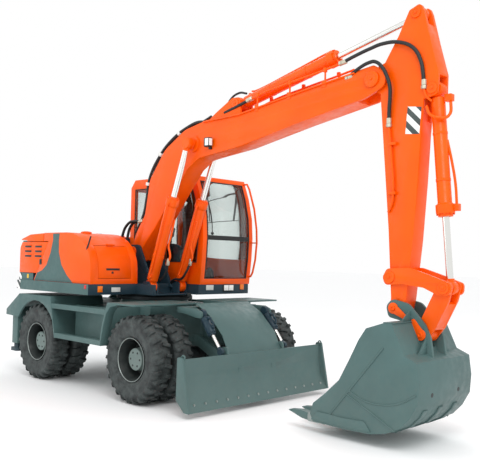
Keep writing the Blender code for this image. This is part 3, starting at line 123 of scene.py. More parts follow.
# Bodywork, frame and arm plates. Pressed and welded steel with a sprayed and baked enamel: a
# smooth coat with a faint orange peel, dustier towards the ground and a little darker in hand-wide
# patches. Each plate keeps its shape from the frame and gets the rounded edges of real sheet.
ORANGE, GREY_GREEN, DECK_GREY, SOOT = "F65A00", "4A6665", "223742", "1C2326"


def linear(colour):
    """A hex colour as linear red, green, blue and alpha."""
    channels = [int(colour[i : i + 2], 16) / 255 for i in (0, 2, 4)]
    return (*[c / 12.92 if c <= 0.04045 else ((c + 0.055) / 1.055) ** 2.4 for c in channels], 1)


def node(material, kind, inputs=None, **settings):
    """Adds a node with its settings; an input is a value or another node's output."""
    added = material.node_tree.nodes.new(kind)
    for name, value in settings.items():
        setattr(added, name, value)
    for name, value in (inputs or {}).items():
        if isinstance(value, bpy.types.NodeSocket):
            material.node_tree.links.new(value, added.inputs[name])
        else:
            added.inputs[name].default_value = value
    return added


def new_material(name, values=None):
    """A node material, its surface shader with these even values, and the place on the piece."""
    material = bpy.data.materials.new(name)
    material.use_nodes = True
    shader = material.node_tree.nodes["Principled BSDF"]
    for key, value in (values or {}).items():
        shader.inputs[key].default_value = value
    return material, shader, node(material, "ShaderNodeTexCoord").outputs["Object"]


def into(shader, name, output):
    """Links a node's output into one of the shader's inputs."""
    shader.id_data.links.new(output, shader.inputs[name])


def noise(material, place, scale, detail=2.0):
    """Cloudy noise over a piece."""
    inputs = {"Vector": place, "Scale": scale, "Detail": detail}
    return node(material, "ShaderNodeTexNoise", inputs).outputs["Fac"]


def ranged(material, value, to, source=(0.0, 1.0)):
    """A value brought from one range into another."""
    inputs = {"Value": value, "From Min": source[0], "From Max": source[1], "To Min": to[0], "To Max": to[1]}
    return node(material, "ShaderNodeMapRange", inputs).outputs[0]


def reckon(material, operation, *values):
    """A sum worked out of one or two values."""
    return node(material, "ShaderNodeMath", dict(enumerate(values)), operation=operation).outputs[0]


def relief(material, shader, height, strength, distance):
    """Raises the surface where the height is bright."""
    bump = node(material, "ShaderNodeBump", {"Height": height, "Strength": strength, "Distance": distance})
    into(shader, "Normal", bump.outputs["Normal"])


def enamel(name, colour, roughness=0.32, dust_height=0.9, dust=0.35, patch=0.08):
    """Baked enamel on plate: patches a hand wide, a coarse orange peel and dust near the ground."""
    material, shader, place = new_material(name, {
        "Specular IOR Level": 0.22, "Coat Weight": 0.05, "Coat Roughness": 0.15,
    })
    cloud = noise(material, place, 3.0, 6.0)
    shade = ranged(material, cloud, (1 - patch, 1 + patch), (0.3, 0.7))
    tint = node(material, "ShaderNodeHueSaturation", {"Color": linear(colour), "Value": shade})
    height = node(material, "ShaderNodeSeparateXYZ", {"Vector": place}).outputs["Z"]
    low = ranged(material, height, (dust, 0.0), (0.0, dust_height))
    grit = noise(material, place, 14.0, 8.0)
    settled = reckon(material, "MULTIPLY", low, grit)
    coat = node(material, "ShaderNodeMix", {
        "Factor": settled, "A": tint.outputs["Color"], "B": linear("7F8680"),
    }, data_type="RGBA")
    into(shader, "Base Color", coat.outputs["Result"])
    gloss = node(material, "ShaderNodeMapRange", {
        "Value": grit, "From Min": 0.35, "From Max": 0.65, "To Min": roughness * 0.8,
        "To Max": roughness * 1.3,
    })
    into(shader, "Roughness", gloss.outputs[0])
    peel = noise(material, place, 60.0, 2.0)
    relief(material, shader, peel, 0.05, 0.004)
    return material


orange_enamel = enamel("signal orange baked enamel", ORANGE, 0.35)
green_enamel = enamel("grey green chassis enamel", GREY_GREEN, 0.45, 1.3, 0.35)
deck_enamel = enamel("blue grey deck enamel", DECK_GREY, 0.42)
dark_enamel = enamel("black chassis enamel", SOOT, 0.5, 1.0, 0.4)
BODY_OF = {name: body for body, names in frame["record"]["behaviour"]["bodies"].items() for name in names}
SLOT_OF = {entry["node"]: entry["material_slot"] for entry in frame["record"]["subparts"]}


def active_only(piece):
    """Selects one object alone, and makes it the active one."""
    bpy.ops.object.select_all(action="DESELECT")
    piece.select_set(True)
    bpy.context.view_layer.objects.active = piece


@contextmanager
def whole_mesh():
    """Opens the active piece's mesh with all of it selected, and closes it afterwards."""
    bpy.ops.object.mode_set(mode="EDIT")
    bpy.ops.mesh.select_all(action="SELECT")
    yield
    bpy.ops.object.mode_set(mode="OBJECT")


def rounded_edges(piece, width, segments=2, angle=30):
    """Rounds the sharp edges of a piece and shades it smoothly between them."""
    active_only(piece)
    bevel = piece.modifiers.new("rounded edges", "BEVEL")
    bevel.width = width
    bevel.segments = segments
    bevel.limit_method = "ANGLE"
    bevel.angle_limit = math.radians(angle)
    bevel.use_clamp_overlap = True
    bpy.ops.object.modifier_apply(modifier=bevel.name)
    bpy.ops.object.shade_smooth_by_angle(angle=math.radians(38))


def belongs(piece, name, material, body, slot, *nodes):
    """Names and paints a piece, or a list joined to one, hangs it on its body and hides the CAD nodes it stands
    for.
    """
    if isinstance(piece, list):
        piece = joined(piece)
    piece.name = name
    piece.data.materials.clear()
    piece.data.materials.append(material)
    if body:
        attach(piece, body)
    if nodes:
        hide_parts(*nodes)
    return piece


def shaped_plate(name, material, width=0.004):
    """A merged copy of a steel part of the frame, with the rounded edges of real plate."""
    piece = bpy.data.objects.new(name + "_plate", frame["nodes"][name].data.copy())
    bpy.context.scene.collection.objects.link(piece)
    active_only(piece)
    with whole_mesh():
        bpy.ops.mesh.remove_doubles(threshold=0.0001)
        bpy.ops.mesh.dissolve_limited(angle_limit=math.radians(0.5))
    rounded_edges(piece, width)
    return belongs(piece, name + "_plate", material, BODY_OF[name], SLOT_OF[name], name)


for name in (
    "boom", "stick", "rocker", "bucket_link", "engine_hood", "right_engine_door", "left_engine_door",
):
    shaped_plate(name, orange_enamel)
for name in ("cab_shell", "cab_door", "right_cover", "right_cover_door"):
    shaped_plate(name, orange_enamel, 0.012 if name == "right_cover" else 0.006)
for name in ("chassis_frame", "left_fenders", "right_fenders", "blade", "blade_guard", "counterweight"):
    shaped_plate(name, green_enamel)
shaped_plate("bucket", green_enamel, 0.003)
for name in ("front_axle", "rear_axle", "left_knuckle", "right_knuckle", "slew_ring", "engine_block"):
    shaped_plate(name, dark_enamel)
for name in ("left_stabiliser_foot", "right_stabiliser_foot", "console"):
    shaped_plate(name, deck_enamel)
shaped_plate("handrail", orange_enamel, 0.001)

# Deck. One welded platform, sprayed grey green on its skirts; the faces that point forward, those in the
# well that the boom stands in and those ahead of the slewing axis get the darker blue grey enamel.
deck = shaped_plate("platform", green_enamel)
deck.data.materials.append(deck_enamel)
for face in deck.data.polygons:
    well = abs(face.center.y + 0.11) < 0.34 and face.center.x > SLEW_X - 0.5
    face.material_index = int(face.normal.x > 0.5 or well or face.center.x > SLEW_X + 0.2)

# Tyres. Eight moulded rubber tyres: a round casing with a beaded, ridged sidewall, and a tread of
# cast lugs that alternate long and short, slant backwards and wrap over the shoulder. One tyre is
# made on the Z axis from a turned casing and lugs, and is copied to its eight places.
AXLE_Z, WHEEL_X, OUTER_Y, INNER_Y, HUB_Y = 0.5275, 1.125, 1.110, 0.784, 0.947
CASING_STEPS, LUGS = 78, 26


def moulded_rubber():
    """Tyre rubber: grey black, chalky with dust on the lugs and the sidewall, very matt."""
    material, shader, place = new_material("moulded tyre rubber", {"Roughness": 0.72})
    dust = node(material, "ShaderNodeTexNoise", {
        "Vector": place, "Scale": 9.0, "Detail": 9.0, "Roughness": 0.65,
    })
    colour = node(material, "ShaderNodeValToRGB", {"Fac": dust.outputs["Fac"]})
    colour.color_ramp.elements[0].position, colour.color_ramp.elements[0].color = 0.35, linear("1B2021")
    colour.color_ramp.elements[1].position, colour.color_ramp.elements[1].color = 0.72, linear("4A5251")
    into(shader, "Base Color", colour.outputs["Color"])
    grain = noise(material, place, 90.0, 3.0)
    relief(material, shader, grain, 0.2, 0.003)
    return material


def turned_piece(profile, steps, ring=False):
    """A round piece about Z, extruded from ring to ring of a profile of (radius, height).

    A ring's profile is closed and leaves a hole; any other piece is closed by its two ends.
    """
    stations = profile + profile[:1] if ring else profile
    bpy.ops.object.select_all(action="DESELECT")
    fill = "NOTHING" if ring else "NGON"
    bpy.ops.mesh.primitive_circle_add(vertices=steps, radius=stations[0][0], fill_type=fill)
    piece = bpy.context.object
    with whole_mesh():
        bpy.ops.transform.translate(value=(0, 0, stations[0][1]))
        for (before, low), (after, high) in zip(stations, stations[1:]):
            bpy.ops.mesh.extrude_region_move(TRANSFORM_OT_translate={"value": (0, 0, high - low)})
            growth = after / before
            bpy.ops.transform.resize(value=(growth, growth, 1), center_override=(0, 0, high))
        bpy.ops.mesh.select_all(action="SELECT")
        bpy.ops.mesh.remove_doubles(threshold=0.00005)
        bpy.ops.mesh.normals_make_consistent(inside=False)
    bpy.ops.object.shade_smooth_by_angle(angle=math.radians(40))
    return piece


def flat_piece(corners, low, high, edge=0.0):
    """An outline in the XY plane extruded between two heights, with its edges rounded."""
    curve = bpy.data.curves.new("outline", "CURVE")
    curve.dimensions, curve.fill_mode = "2D", "BOTH"
    curve.extrude = (high - low) / 2
    spline = curve.splines.new("POLY")
    spline.points.add(len(corners) - 1)
    for point, corner in zip(spline.points, corners):
        point.co = (corner[0], corner[1], 0, 1)
    spline.use_cyclic_u = True
    piece = bpy.data.objects.new("outline", curve)
    bpy.context.scene.collection.objects.link(piece)
    active_only(piece)
    bpy.ops.object.convert(target="MESH")
    piece = bpy.context.object
    with whole_mesh():
        bpy.ops.mesh.remove_doubles(threshold=0.00005)
        bpy.ops.transform.translate(value=(0, 0, (low + high) / 2))
        bpy.ops.mesh.normals_make_consistent(inside=False)
    if edge:
        rounded_edges(piece, edge)
    return piece


def moved(piece, matrix):
    """Puts a place and a turn into the mesh of a piece."""
    piece.data.transform(matrix)
    piece.data.update()
    return piece


def copied(piece):
    """Another piece of the same shape, with its own mesh."""
    twin = bpy.data.objects.new(piece.name, piece.data.copy())
    bpy.context.scene.collection.objects.link(twin)
    return twin


def joined(pieces):
    """Several pieces as one object."""
    bpy.ops.object.select_all(action="DESELECT")
    for piece in pieces:
        piece.select_set(True)
    bpy.context.view_layer.objects.active = pieces[0]
    bpy.ops.object.join()
    return bpy.context.object


rubber = moulded_rubber()
wall = [
    (0.262, 0.086), (0.268, 0.098), (0.284, 0.106), (0.290, 0.113), (0.305, 0.117), (0.309, 0.1145),
    (0.335, 0.122), (0.37, 0.128), (0.41, 0.1300), (0.438, 0.1285), (0.441, 0.1305), (0.452, 0.1295),
    (0.470, 0.122), (0.488, 0.108), (0.497, 0.085), (0.501, 0.04),
]
casing = turned_piece(
    wall + [(radius, -height) for radius, height in reversed(wall)], CASING_STEPS, ring=True,
)
tread = []
for short, inner_end in ((False, -0.004), (True, 0.034)):
    lug = flat_piece([
        (0.492, inner_end), (0.527, inner_end + 0.004), (0.5255, 0.096), (0.508, 0.119), (0.470, 0.1305),
        (0.446, 0.1305), (0.452, 0.118), (0.480, 0.098),
    ], -0.021, 0.021, 0.005)
    stand = Matrix(((1, 0, 0, 0), (0, 0, -1, 0), (0, 1, 0, 0), (0, 0, 0, 1)))
    slant = Matrix.Translation((0.5, 0, 0.07)) @ turn_by(16, "X")
    moved(lug, slant @ Matrix.Translation((-0.5, 0, -0.07)) @ stand)
    for step in range(LUGS):
        if step % 2 == int(short):
            for hand in (1, -1):
                twin = copied(lug)
                moved(twin, Matrix.Rotation(math.tau * (step + 0.25 * hand) / LUGS, 4, "Z"))
                if hand < 0:
                    moved(twin, Matrix.Diagonal((1, 1, -1, 1)))
                    active_only(twin)
                    with whole_mesh():
                        bpy.ops.mesh.flip_normals()
                tread.append(twin)
    bpy.data.objects.remove(lug)
tyre = joined([casing, *tread])

# Rims. Pressed and welded steel rims with a deep dish, sprayed black; the flange is rubbed bright
# and the planetary hub in the middle is light grey with six bolts.
rim_enamel = enamel("black rim enamel", "12181A", 0.45, 1.0, 0.3)
hub_enamel = enamel("light grey hub enamel", "6C7C79", 0.45, 1.0, 0.3)
worn_steel, shader, place = new_material("rubbed steel", {"Metallic": 0.9, "Base Color": linear("9AA3A0")})
into(shader, "Roughness", noise(worn_steel, place, 25.0, 6.0))
dish = turned_piece([
    (0.10, -0.05), (0.10, 0.0), (0.236, 0.0), (0.236, -0.262), (0.246, -0.269), (0.2615, -0.269),
    (0.2615, 0.266), (0.256, 0.270), (0.248, 0.268), (0.243, 0.25), (0.232, 0.235), (0.229, 0.10),
    (0.226, 0.05), (0.16, 0.032), (0.142, 0.040), (0.02, 0.045),
], 64)
flange = turned_piece([(0.2495, 0.264), (0.2550, 0.2745), (0.2605, 0.2745), (0.2610, 0.264)], 64, ring=True)
hub = turned_piece([
    (0.142, 0.036), (0.142, 0.13), (0.134, 0.14), (0.134, 0.197), (0.129, 0.205), (0.04, 0.209),
    (0.036, 0.207), (0.01, 0.207),
], 48)
bolts = []
for step in range(6):
    bolt = turned_piece([(0.013, 0.203), (0.013, 0.2095), (0.008, 0.2125), (0.004, 0.2125)], 6)
    bolts.append(
        moved(bolt, Matrix.Rotation(math.tau * step / 6, 4, "Z") @ Matrix.Translation((0.088, 0, 0)))
    )
hub_bolts = joined(bolts)
for end, wheel_x in (("front", WHEEL_X), ("rear", -WHEEL_X)):
    for side, hand in (("left", 1), ("right", -1)):
        corner, body = f"{end}_{side}", f"{end}_{side}_wheel"
        turn = turn_by(-90 * hand, "X")
        for which, y in (("outer", OUTER_Y), ("inner", INNER_Y)):
            twin = moved(copied(tyre), set_at(wheel_x, hand * y, AXLE_Z) @ turn)
            node_name = f"{corner}_{which}_tyre"
            belongs(twin, node_name + "_rubber", rubber, body, SLOT_OF[node_name], node_name)
        stand = set_at(wheel_x, hand * HUB_Y, AXLE_Z) @ turn
        belongs(moved(copied(dish), stand), corner + "_dish", rim_enamel, body, "rim_enamel", corner + "_rim")
        belongs(moved(copied(flange), stand), corner + "_flange", worn_steel, body, "rim_enamel")
        belongs(moved(copied(hub), stand), corner + "_hub", hub_enamel, body, "rim_enamel")
        belongs(moved(copied(hub_bolts), stand), corner + "_hub_bolts", dark_enamel, body, "rim_enamel")
for made in (tyre, dish, flange, hub, hub_bolts):
    bpy.data.objects.remove(made)

# Hydraulic cylinders. Honed and painted barrels with a screwed gland, two ports with rigid feed
# pipes and a cast foot eye; ground, hard-chromed rods with a painted eye. Each turns out of one
# profile along its own line, and its CAD solid is replaced.
ARM_Y = -0.11
chrome, shader, place = new_material("ground hard chrome", {"Metallic": 1.0, "Base Color": linear("E4E4E0")})
film = noise(chrome, place, 30.0, 4.0)
into(shader, "Roughness", ranged(chrome, film, (0.10, 0.26)))
zinc, shader, place = new_material("zinc plated fitting", {"Metallic": 0.85, "Base Color": linear("C9C6B4")})
into(shader, "Roughness", noise(zinc, place, 60.0, 3.0))


def aimed(start, end):
    """The matrix that stands a piece made on the Z axis at a start, pointing at an end."""
    return Matrix.Translation(start) @ (end - start).to_track_quat("Z", "Y").to_matrix().to_4x4()


def across(piece, centre, y):
    """Lays a piece made on the Z axis across the machine, at a side-view centre."""
    turn = turn_by(90, "X")
    return moved(piece, set_at(centre[0], y, centre[1]) @ turn)


def tube(points, radius, sides=3, handle="AUTO", resolution=6):
    """A round tube on a smooth line through some points, closed at its ends."""
    curve = bpy.data.curves.new("tube", "CURVE")
    curve.dimensions = "3D"
    curve.bevel_depth, curve.bevel_resolution = radius, sides
    curve.resolution_u, curve.use_fill_caps = resolution, True
    spline = curve.splines.new("BEZIER")
    spline.bezier_points.add(len(points) - 1)
    for point, place in zip(spline.bezier_points, points):
        point.co = place
        point.handle_left_type = point.handle_right_type = handle
    piece = bpy.data.objects.new("tube", curve)
    bpy.context.scene.collection.objects.link(piece)
    active_only(piece)
    bpy.ops.object.convert(target="MESH")
    piece = bpy.context.object
    with whole_mesh():
        bpy.ops.mesh.remove_doubles(threshold=0.00002)
        bpy.ops.mesh.normals_make_consistent(inside=False)
    bpy.ops.object.shade_smooth_by_angle(angle=math.radians(50))
    return piece


def pipe(places, radius, **how):
    """A tube through places that are given from the slewing axis."""
    return tube([spot(*place) for place in places], radius, **how)


def slab(x, y, z, edge=0.004):
    """A plate or housing between pairs of limits, with its edges rounded."""
    bpy.ops.object.select_all(action="DESELECT")
    middle = spot(sum(x) / 2, sum(y) / 2, sum(z) / 2)
    bpy.ops.mesh.primitive_cube_add(size=1, location=middle, scale=(x[1] - x[0], y[1] - y[0], z[1] - z[0]))
    piece = bpy.context.object
    bpy.ops.object.transform_apply(location=True, rotation=False, scale=True)
    rounded_edges(piece, edge)
    return piece


def ram(
    barrel, rod, foot, eye, y, length, radius, gland, rod_radius, inside, foot_half, eye_half, paint, port,
):
    """One cylinder and its rod between two side-view points; port is the side of its feed pipe."""
    start, end = spot(foot[0], y, foot[1]), spot(eye[0], y, eye[1])
    line = (end - start).normalized()
    stand = aimed(start, end)
    shell = turned_piece([
        (radius * 0.62, radius * 1.06), (radius * 0.97, radius * 1.30), (radius, radius * 1.45),
        (radius, length - 0.125), (radius * 1.06, length - 0.12), (gland, length - 0.105),
        (gland, length - 0.03), (gland * 0.97, length - 0.02), (gland * 0.80, length - 0.018),
        (gland * 0.78, length + 0.008), (rod_radius + 0.010, length + 0.010),
        (rod_radius + 0.004, length + 0.004),
    ], 48)
    moved(shell, stand)
    bore = turned_piece([
        (radius * 1.08, -foot_half + 0.004), (radius * 1.12, -foot_half + 0.010),
        (radius * 1.12, foot_half - 0.010), (radius * 1.08, foot_half - 0.004),
    ], 40)
    neck = turned_piece([(radius * 0.60, 0.0), (radius * 0.60, radius * 1.2)], 32)
    parts = [shell, across(bore, foot, y), moved(neck, stand)]
    bolts = 8
    for step in range(bolts):
        angle = math.tau * (step + 0.5) / bolts
        bolt = turned_piece([(0.0085, length - 0.022), (0.0085, length - 0.008), (0.006, length - 0.006)], 6)
        place = Matrix.Translation((gland * 0.88 * math.cos(angle), gland * 0.88 * math.sin(angle), 0))
        parts.append(moved(moved(bolt, place), stand))
    side = Vector((0, 1, 0)).cross(line) * port[0] + Vector((0, 1, 0)) * port[1]
    side.normalize()
    for reach in (radius * 2.0, length - 0.07):
        boss_at = start + line * reach
        boss = turned_piece([(0.022, radius * 0.8), (0.022, radius + 0.022), (0.018, radius + 0.026)], 20)
        parts.append(moved(boss, aimed(boss_at, boss_at + side)))
    lift = radius + 0.034
    feed = [
        start + line * (length - 0.07) + side * (radius + 0.015),
        start + line * (length - 0.085) + side * lift, start + line * (length - 0.13) + side * (lift + 0.004),
        start + line * (length * 0.6) + side * (lift - 0.006),
        start + line * (radius * 3.2) + side * (lift - 0.006),
        start + line * (radius * 2.4) + side * (lift + 0.012),
    ]
    parts.append(tube(feed, 0.011))
    for share in (0.35, 0.72):
        clip_at = start + line * (length * share)
        clip = turned_piece([(radius + 0.0035, -0.012), (radius + 0.0035, 0.012)], 40)
        parts.append(moved(clip, aimed(clip_at, clip_at + line)))
    belongs(parts, barrel + "_barrel", paint, BODY_OF[barrel], SLOT_OF[barrel], barrel)
    reach = (end - start).length
    shaft = turned_piece([
        (rod_radius - 0.002, length - inside), (rod_radius, length - inside + 0.002),
        (rod_radius, reach - rod_radius * 1.6),
    ], 40)
    belongs(moved(shaft, stand), rod + "_shaft", chrome, BODY_OF[rod], "chrome", rod)
    eye_ring = turned_piece([
        (rod_radius * 1.9, -eye_half), (rod_radius * 1.98, -eye_half + 0.004),
        (rod_radius * 1.98, eye_half - 0.004), (rod_radius * 1.9, eye_half),
    ], 40)
    collar = turned_piece([
        (rod_radius * 1.25, reach - rod_radius * 2.6), (rod_radius * 1.25, reach - rod_radius),
    ], 32)
    pieces = joined([across(eye_ring, eye, y), moved(collar, stand)])
    belongs(pieces, rod + "_eye", paint, BODY_OF[rod], "orange_paint")


for side, hand in (("left", 1), ("right", -1)):
    ram(
        f"{side}_boom_cylinder", f"{side}_boom_rod", (0.375, 1.36), (1.075, 3.25), ARM_Y + hand * 0.257, 1.27,
        0.075, 0.088, 0.038, 0.46, 0.0535, 0.044, orange_enamel, (0.35, -1.0),
    )
    ram(
        f"{side}_blade_cylinder", f"{side}_blade_rod", (1.645, 1.085), (1.985, 0.665), hand * 0.555, 0.30,
        0.050, 0.055, 0.022, 0.115, 0.0335, 0.021, deck_enamel, (-1.0, 0.0),
    )
ram(
    "stick_cylinder", "stick_rod", (1.80, 3.69), (4.315, 4.235), ARM_Y, 1.52, 0.075, 0.095, 0.036, 0.16,
    0.0835, 0.044, orange_enamel, (-1.0, 0.2),
)
ram(
    "bucket_cylinder", "bucket_rod", (4.50, 3.45), (4.66, 1.525), ARM_Y, 1.24, 0.068, 0.090, 0.034, 0.33,
    0.0685, 0.049, orange_enamel, (0.2, 1.0),
)

# Pin ends and retainers. Every arm joint has a hardened pin whose ends show in round bosses, each
# held by a bolted cap; the bucket's two pins have teardrop retainers with a bolt at their tails.
PINS = [
    ("upper", (-0.14, 1.83), 0.193, 0.075), ("stick", (3.835, 3.64), 0.154, 0.085),
    ("boom", (1.075, 3.25), 0.203, 0.075), ("stick", (4.07, 1.61), 0.150, 0.0),
    ("boom", (1.80, 3.69), 0.117, 0.06), ("stick", (4.315, 4.235), 0.102, 0.055),
    ("stick", (4.50, 3.45), 0.102, 0.055), ("rocker", (4.07, 1.61), 0.140, 0.062),
    ("rocker", (4.66, 1.525), 0.139, 0.058),
]


def pin_end(body, centre, y, hand, radius):
    """A bolted cap over a pin's end, that stands 12 mm off the plate at y."""
    cap = turned_piece([
        (radius, -0.004), (radius, 0.008), (radius * 0.94, 0.012), (radius * 0.62, 0.012),
        (radius * 0.58, 0.009), (radius * 0.30, 0.009),
    ], 36)
    bolt = turned_piece([(0.014, 0.006), (0.014, 0.018), (0.010, 0.021)], 6)
    stand = set_at(centre[0], y, centre[1]) @ turn_by(-90 * hand, "X")
    label = f"{body}_pin_cap_{round(centre[0] * 1000)}_{'left' if hand > 0 else 'right'}"
    belongs([moved(cap, stand), moved(bolt, stand)], label, orange_enamel, body, "orange_paint")


for body, centre, reach, radius in PINS:
    if radius:
        for hand in (1, -1):
            pin_end(body, centre, ARM_Y + hand * reach, hand, radius)
for body, centre, tail in (("bucket", (4.125, 1.305), (4.27, 1.22)), ("bucket", (4.43, 1.07), (4.35, 1.20))):
    for hand in (1, -1):
        face = ARM_Y + hand * 0.141
        way = Vector((tail[0] - centre[0], tail[1] - centre[1]))
        reach, turn = way.length, math.atan2(way.y, way.x)
        outline = []
        for step in range(13):
            angle = math.radians(50 + 260 * step / 12)
            outline.append((0.056 * math.cos(angle), 0.056 * math.sin(angle)))
        outline += [(reach, -0.022), (reach + 0.014, -0.012), (reach + 0.014, 0.012), (reach, 0.022)]
        keeper = flat_piece(outline, 0.0, 0.012, 0.003)
        moved(keeper, Matrix.Rotation(turn, 4, "Z"))
        lay = Matrix(((1, 0, 0, 0), (0, 0, hand, 0), (0, 1, 0, 0), (0, 0, 0, 1)))
        moved(keeper, set_at(centre[0], face, centre[1]) @ lay)
        active_only(keeper)
        with whole_mesh():
            bpy.ops.mesh.normals_make_consistent(inside=False)
        stand = set_at(centre[0], face, centre[1]) @ turn_by(-90 * hand, "X")
        knob = moved(
            turned_piece([(0.026, 0.0), (0.026, 0.022), (0.020, 0.026), (0.016, 0.026), (0.012, 0.018)], 32),
            stand,
        )
        label = f"{body}_pin_keeper_{round(centre[0] * 1000)}_{'left' if hand > 0 else 'right'}"
        belongs([keeper, knob], label, orange_enamel, body, "orange_paint")

# Cab glazing. Tempered safety glass, faintly green at its edges, in black rubber gaskets; the
# windscreen is split by a bar, with its wiper on the upper half, and the door has sliding panes.
safety_glass, shader, place = new_material("tempered safety glass", {
    "Base Color": linear("E6ECEA"), "Transmission Weight": 1.0, "IOR": 1.45,
})
smear = noise(safety_glass, place, 5.0, 5.0)
into(shader, "Roughness", ranged(safety_glass, smear, (0.0, 0.06)))


def grained_plastic(name, colour, grain_scale, roughness):
    """Moulded plastic or rubber with a fine leather grain."""
    material, shader, place = new_material(name, {"Roughness": roughness})
    grain = node(material, "ShaderNodeTexVoronoi", {"Vector": place, "Scale": grain_scale})
    relief(material, shader, grain.outputs["Distance"], 0.25, 0.002)
    rubbed = noise(material, place, 12.0, 5.0)
    shade = ranged(material, rubbed, (0.75, 1.25))
    tint = node(material, "ShaderNodeHueSaturation", {"Color": linear(colour), "Value": shade})
    into(shader, "Base Color", tint.outputs["Color"])
    return material


gasket_rubber = grained_plastic("black gasket rubber", "15191A", 120.0, 0.6)
black_plastic = grained_plastic("black moulded plastic", "1E2324", 160.0, 0.5)
for name in ("front_glass", "right_glass", "door_glass"):
    shaped_plate(name, safety_glass, 0.001)


def side_piece(corners, y_low, y_high, edge=0.0):
    """An outline in a side view, extruded across the machine between two y."""
    piece = flat_piece(corners, -y_high, -y_low, edge)
    lay = Matrix.Translation((SLEW_X, 0, 0)) @ turn_by(90, "X")
    return moved(piece, lay)


def framed(points, radius):
    """A rubber profile round a closed line of places."""
    return tube([*points, points[0], points[1]], radius, handle="VECTOR", resolution=1)


RIGHT_REAR = [(-0.86, 1.98), (-0.86, 2.80), (-0.18, 2.80), (-0.18, 1.75), (-0.50, 1.75)]
RIGHT_FRONT = [(-0.10, 1.70), (-0.10, 2.80), (0.46, 2.80), (0.58, 2.50), (0.63, 2.10), (0.60, 1.70)]
LEFT_REAR = [(-0.86, 1.98), (-0.86, 2.80), (-0.36, 2.80), (-0.36, 1.98)]
DOOR_PANE = [
    (-0.21, 1.75), (-0.21, 2.80), (0.46, 2.80), (0.54, 2.53), (0.59, 2.29), (0.60, 2.05), (0.585, 1.75),
]
belongs(side_piece(RIGHT_REAR, 0.262, 0.268), "right_rear_pane", safety_glass, "upper", "glass")
belongs(side_piece(LEFT_REAR, 1.212, 1.218), "left_rear_pane", safety_glass, "upper", "glass")
rear_pane = slab((-0.962, -0.956), (0.362, 1.138), (2.102, 2.778), 0.001)
belongs(rear_pane, "rear_pane", safety_glass, "upper", "glass")
SCREEN = [(0.6845, 1.475), (0.72, 1.75), (0.735, 2.05), (0.715, 2.35), (0.64, 2.65), (0.5635, 2.855)]


def on_screen(z, y, off=0.0):
    """A place on the curved windscreen."""
    for (x0, z0), (x1, z1) in zip(SCREEN, SCREEN[1:]):
        if z <= z1:
            break
    return spot(x0 + (x1 - x0) * (z - z0) / (z1 - z0) + off, y, z)


gaskets = [
    framed([spot(x, 0.2495, z) for x, z in RIGHT_REAR], 0.009),
    framed([spot(x, 0.2495, z) for x, z in RIGHT_FRONT], 0.009),
    framed([spot(x, 1.2405, z) for x, z in LEFT_REAR], 0.009),
    framed([spot(-0.981, y, z) for y, z in ((0.36, 2.10), (1.14, 2.10), (1.14, 2.78), (0.36, 2.78))], 0.009),
]
heights = [z for _, z in SCREEN]
edge_line = [on_screen(z, 0.333, -0.004) for z in heights] + [
    on_screen(z, 1.157, -0.004)
    for z in reversed(heights)
]
gaskets.append(framed(edge_line, 0.011))
bar_low, bar_high = on_screen(2.02, 0.75, -0.008), on_screen(2.085, 0.75, -0.008)
gaskets.append(slab((0.716, 0.737), (0.325, 1.165), (bar_low.z, bar_high.z), 0.004))
belongs(gaskets, "window_gaskets", gasket_rubber, "upper", "dark_paint")
door_gasket = framed([spot(x, 1.2405, z) for x, z in DOOR_PANE], 0.009)
sash = framed([
    spot(x, 1.2335, z)
    for x, z in ((0.054, 2.34), (0.054, 2.71), (0.46, 2.71), (0.505, 2.55), (0.545, 2.34))
], 0.009)
divider = pipe([(0.255, 1.2335, 2.34), (0.255, 1.2335, 2.71)], 0.007, handle="VECTOR")
handle = pipe([(0.40, 1.237, 1.60), (0.41, 1.256, 1.60), (0.54, 1.256, 1.60), (0.55, 1.237, 1.60)], 0.009)
belongs([door_gasket, sash, divider, handle], "door_sash_and_handle", gasket_rubber, "cab_door", "dark_paint")
wiper_pivot = on_screen(2.11, 0.42, 0.006)
wiper = [
    tube([wiper_pivot, on_screen(2.35, 0.40, 0.016), on_screen(2.55, 0.385, 0.014)], 0.006),
    tube([
        on_screen(2.28, 0.372, 0.008), on_screen(2.55, 0.385, 0.009), on_screen(2.78, 0.372, 0.008),
    ], 0.006),
    moved(
        turned_piece([(0.02, -0.01), (0.02, 0.008), (0.014, 0.014)], 20),
        aimed(wiper_pivot, wiper_pivot + Vector((1, 0, 0))),
    ),
]
belongs(wiper, "wiper", black_plastic, "upper", "dark_paint")

# Operator's place. A sprung seat with foam cushions in woven cloth, on a moulded base; a steering
# column with its wheel, two joysticks on the armrest consoles, and a mat on the floor.
seat_cloth, shader, place = new_material("woven seat cloth", {"Roughness": 0.95, "Sheen Weight": 0.3})
weave = node(seat_cloth, "ShaderNodeTexWave", {"Vector": place, "Scale": 70.0, "Distortion": 1.5})
cross_weave = node(seat_cloth, "ShaderNodeTexWave", {"Vector": place, "Scale": 70.0}, bands_direction="Z")
thread = reckon(seat_cloth, "MULTIPLY", weave.outputs["Fac"], cross_weave.outputs["Fac"])
cloth_tint = node(seat_cloth, "ShaderNodeMix", {
    "Factor": thread, "A": linear("24282B"), "B": linear("4B5358"),
}, data_type="RGBA")
into(shader, "Base Color", cloth_tint.outputs["Result"])
relief(seat_cloth, shader, thread, 0.4, 0.002)


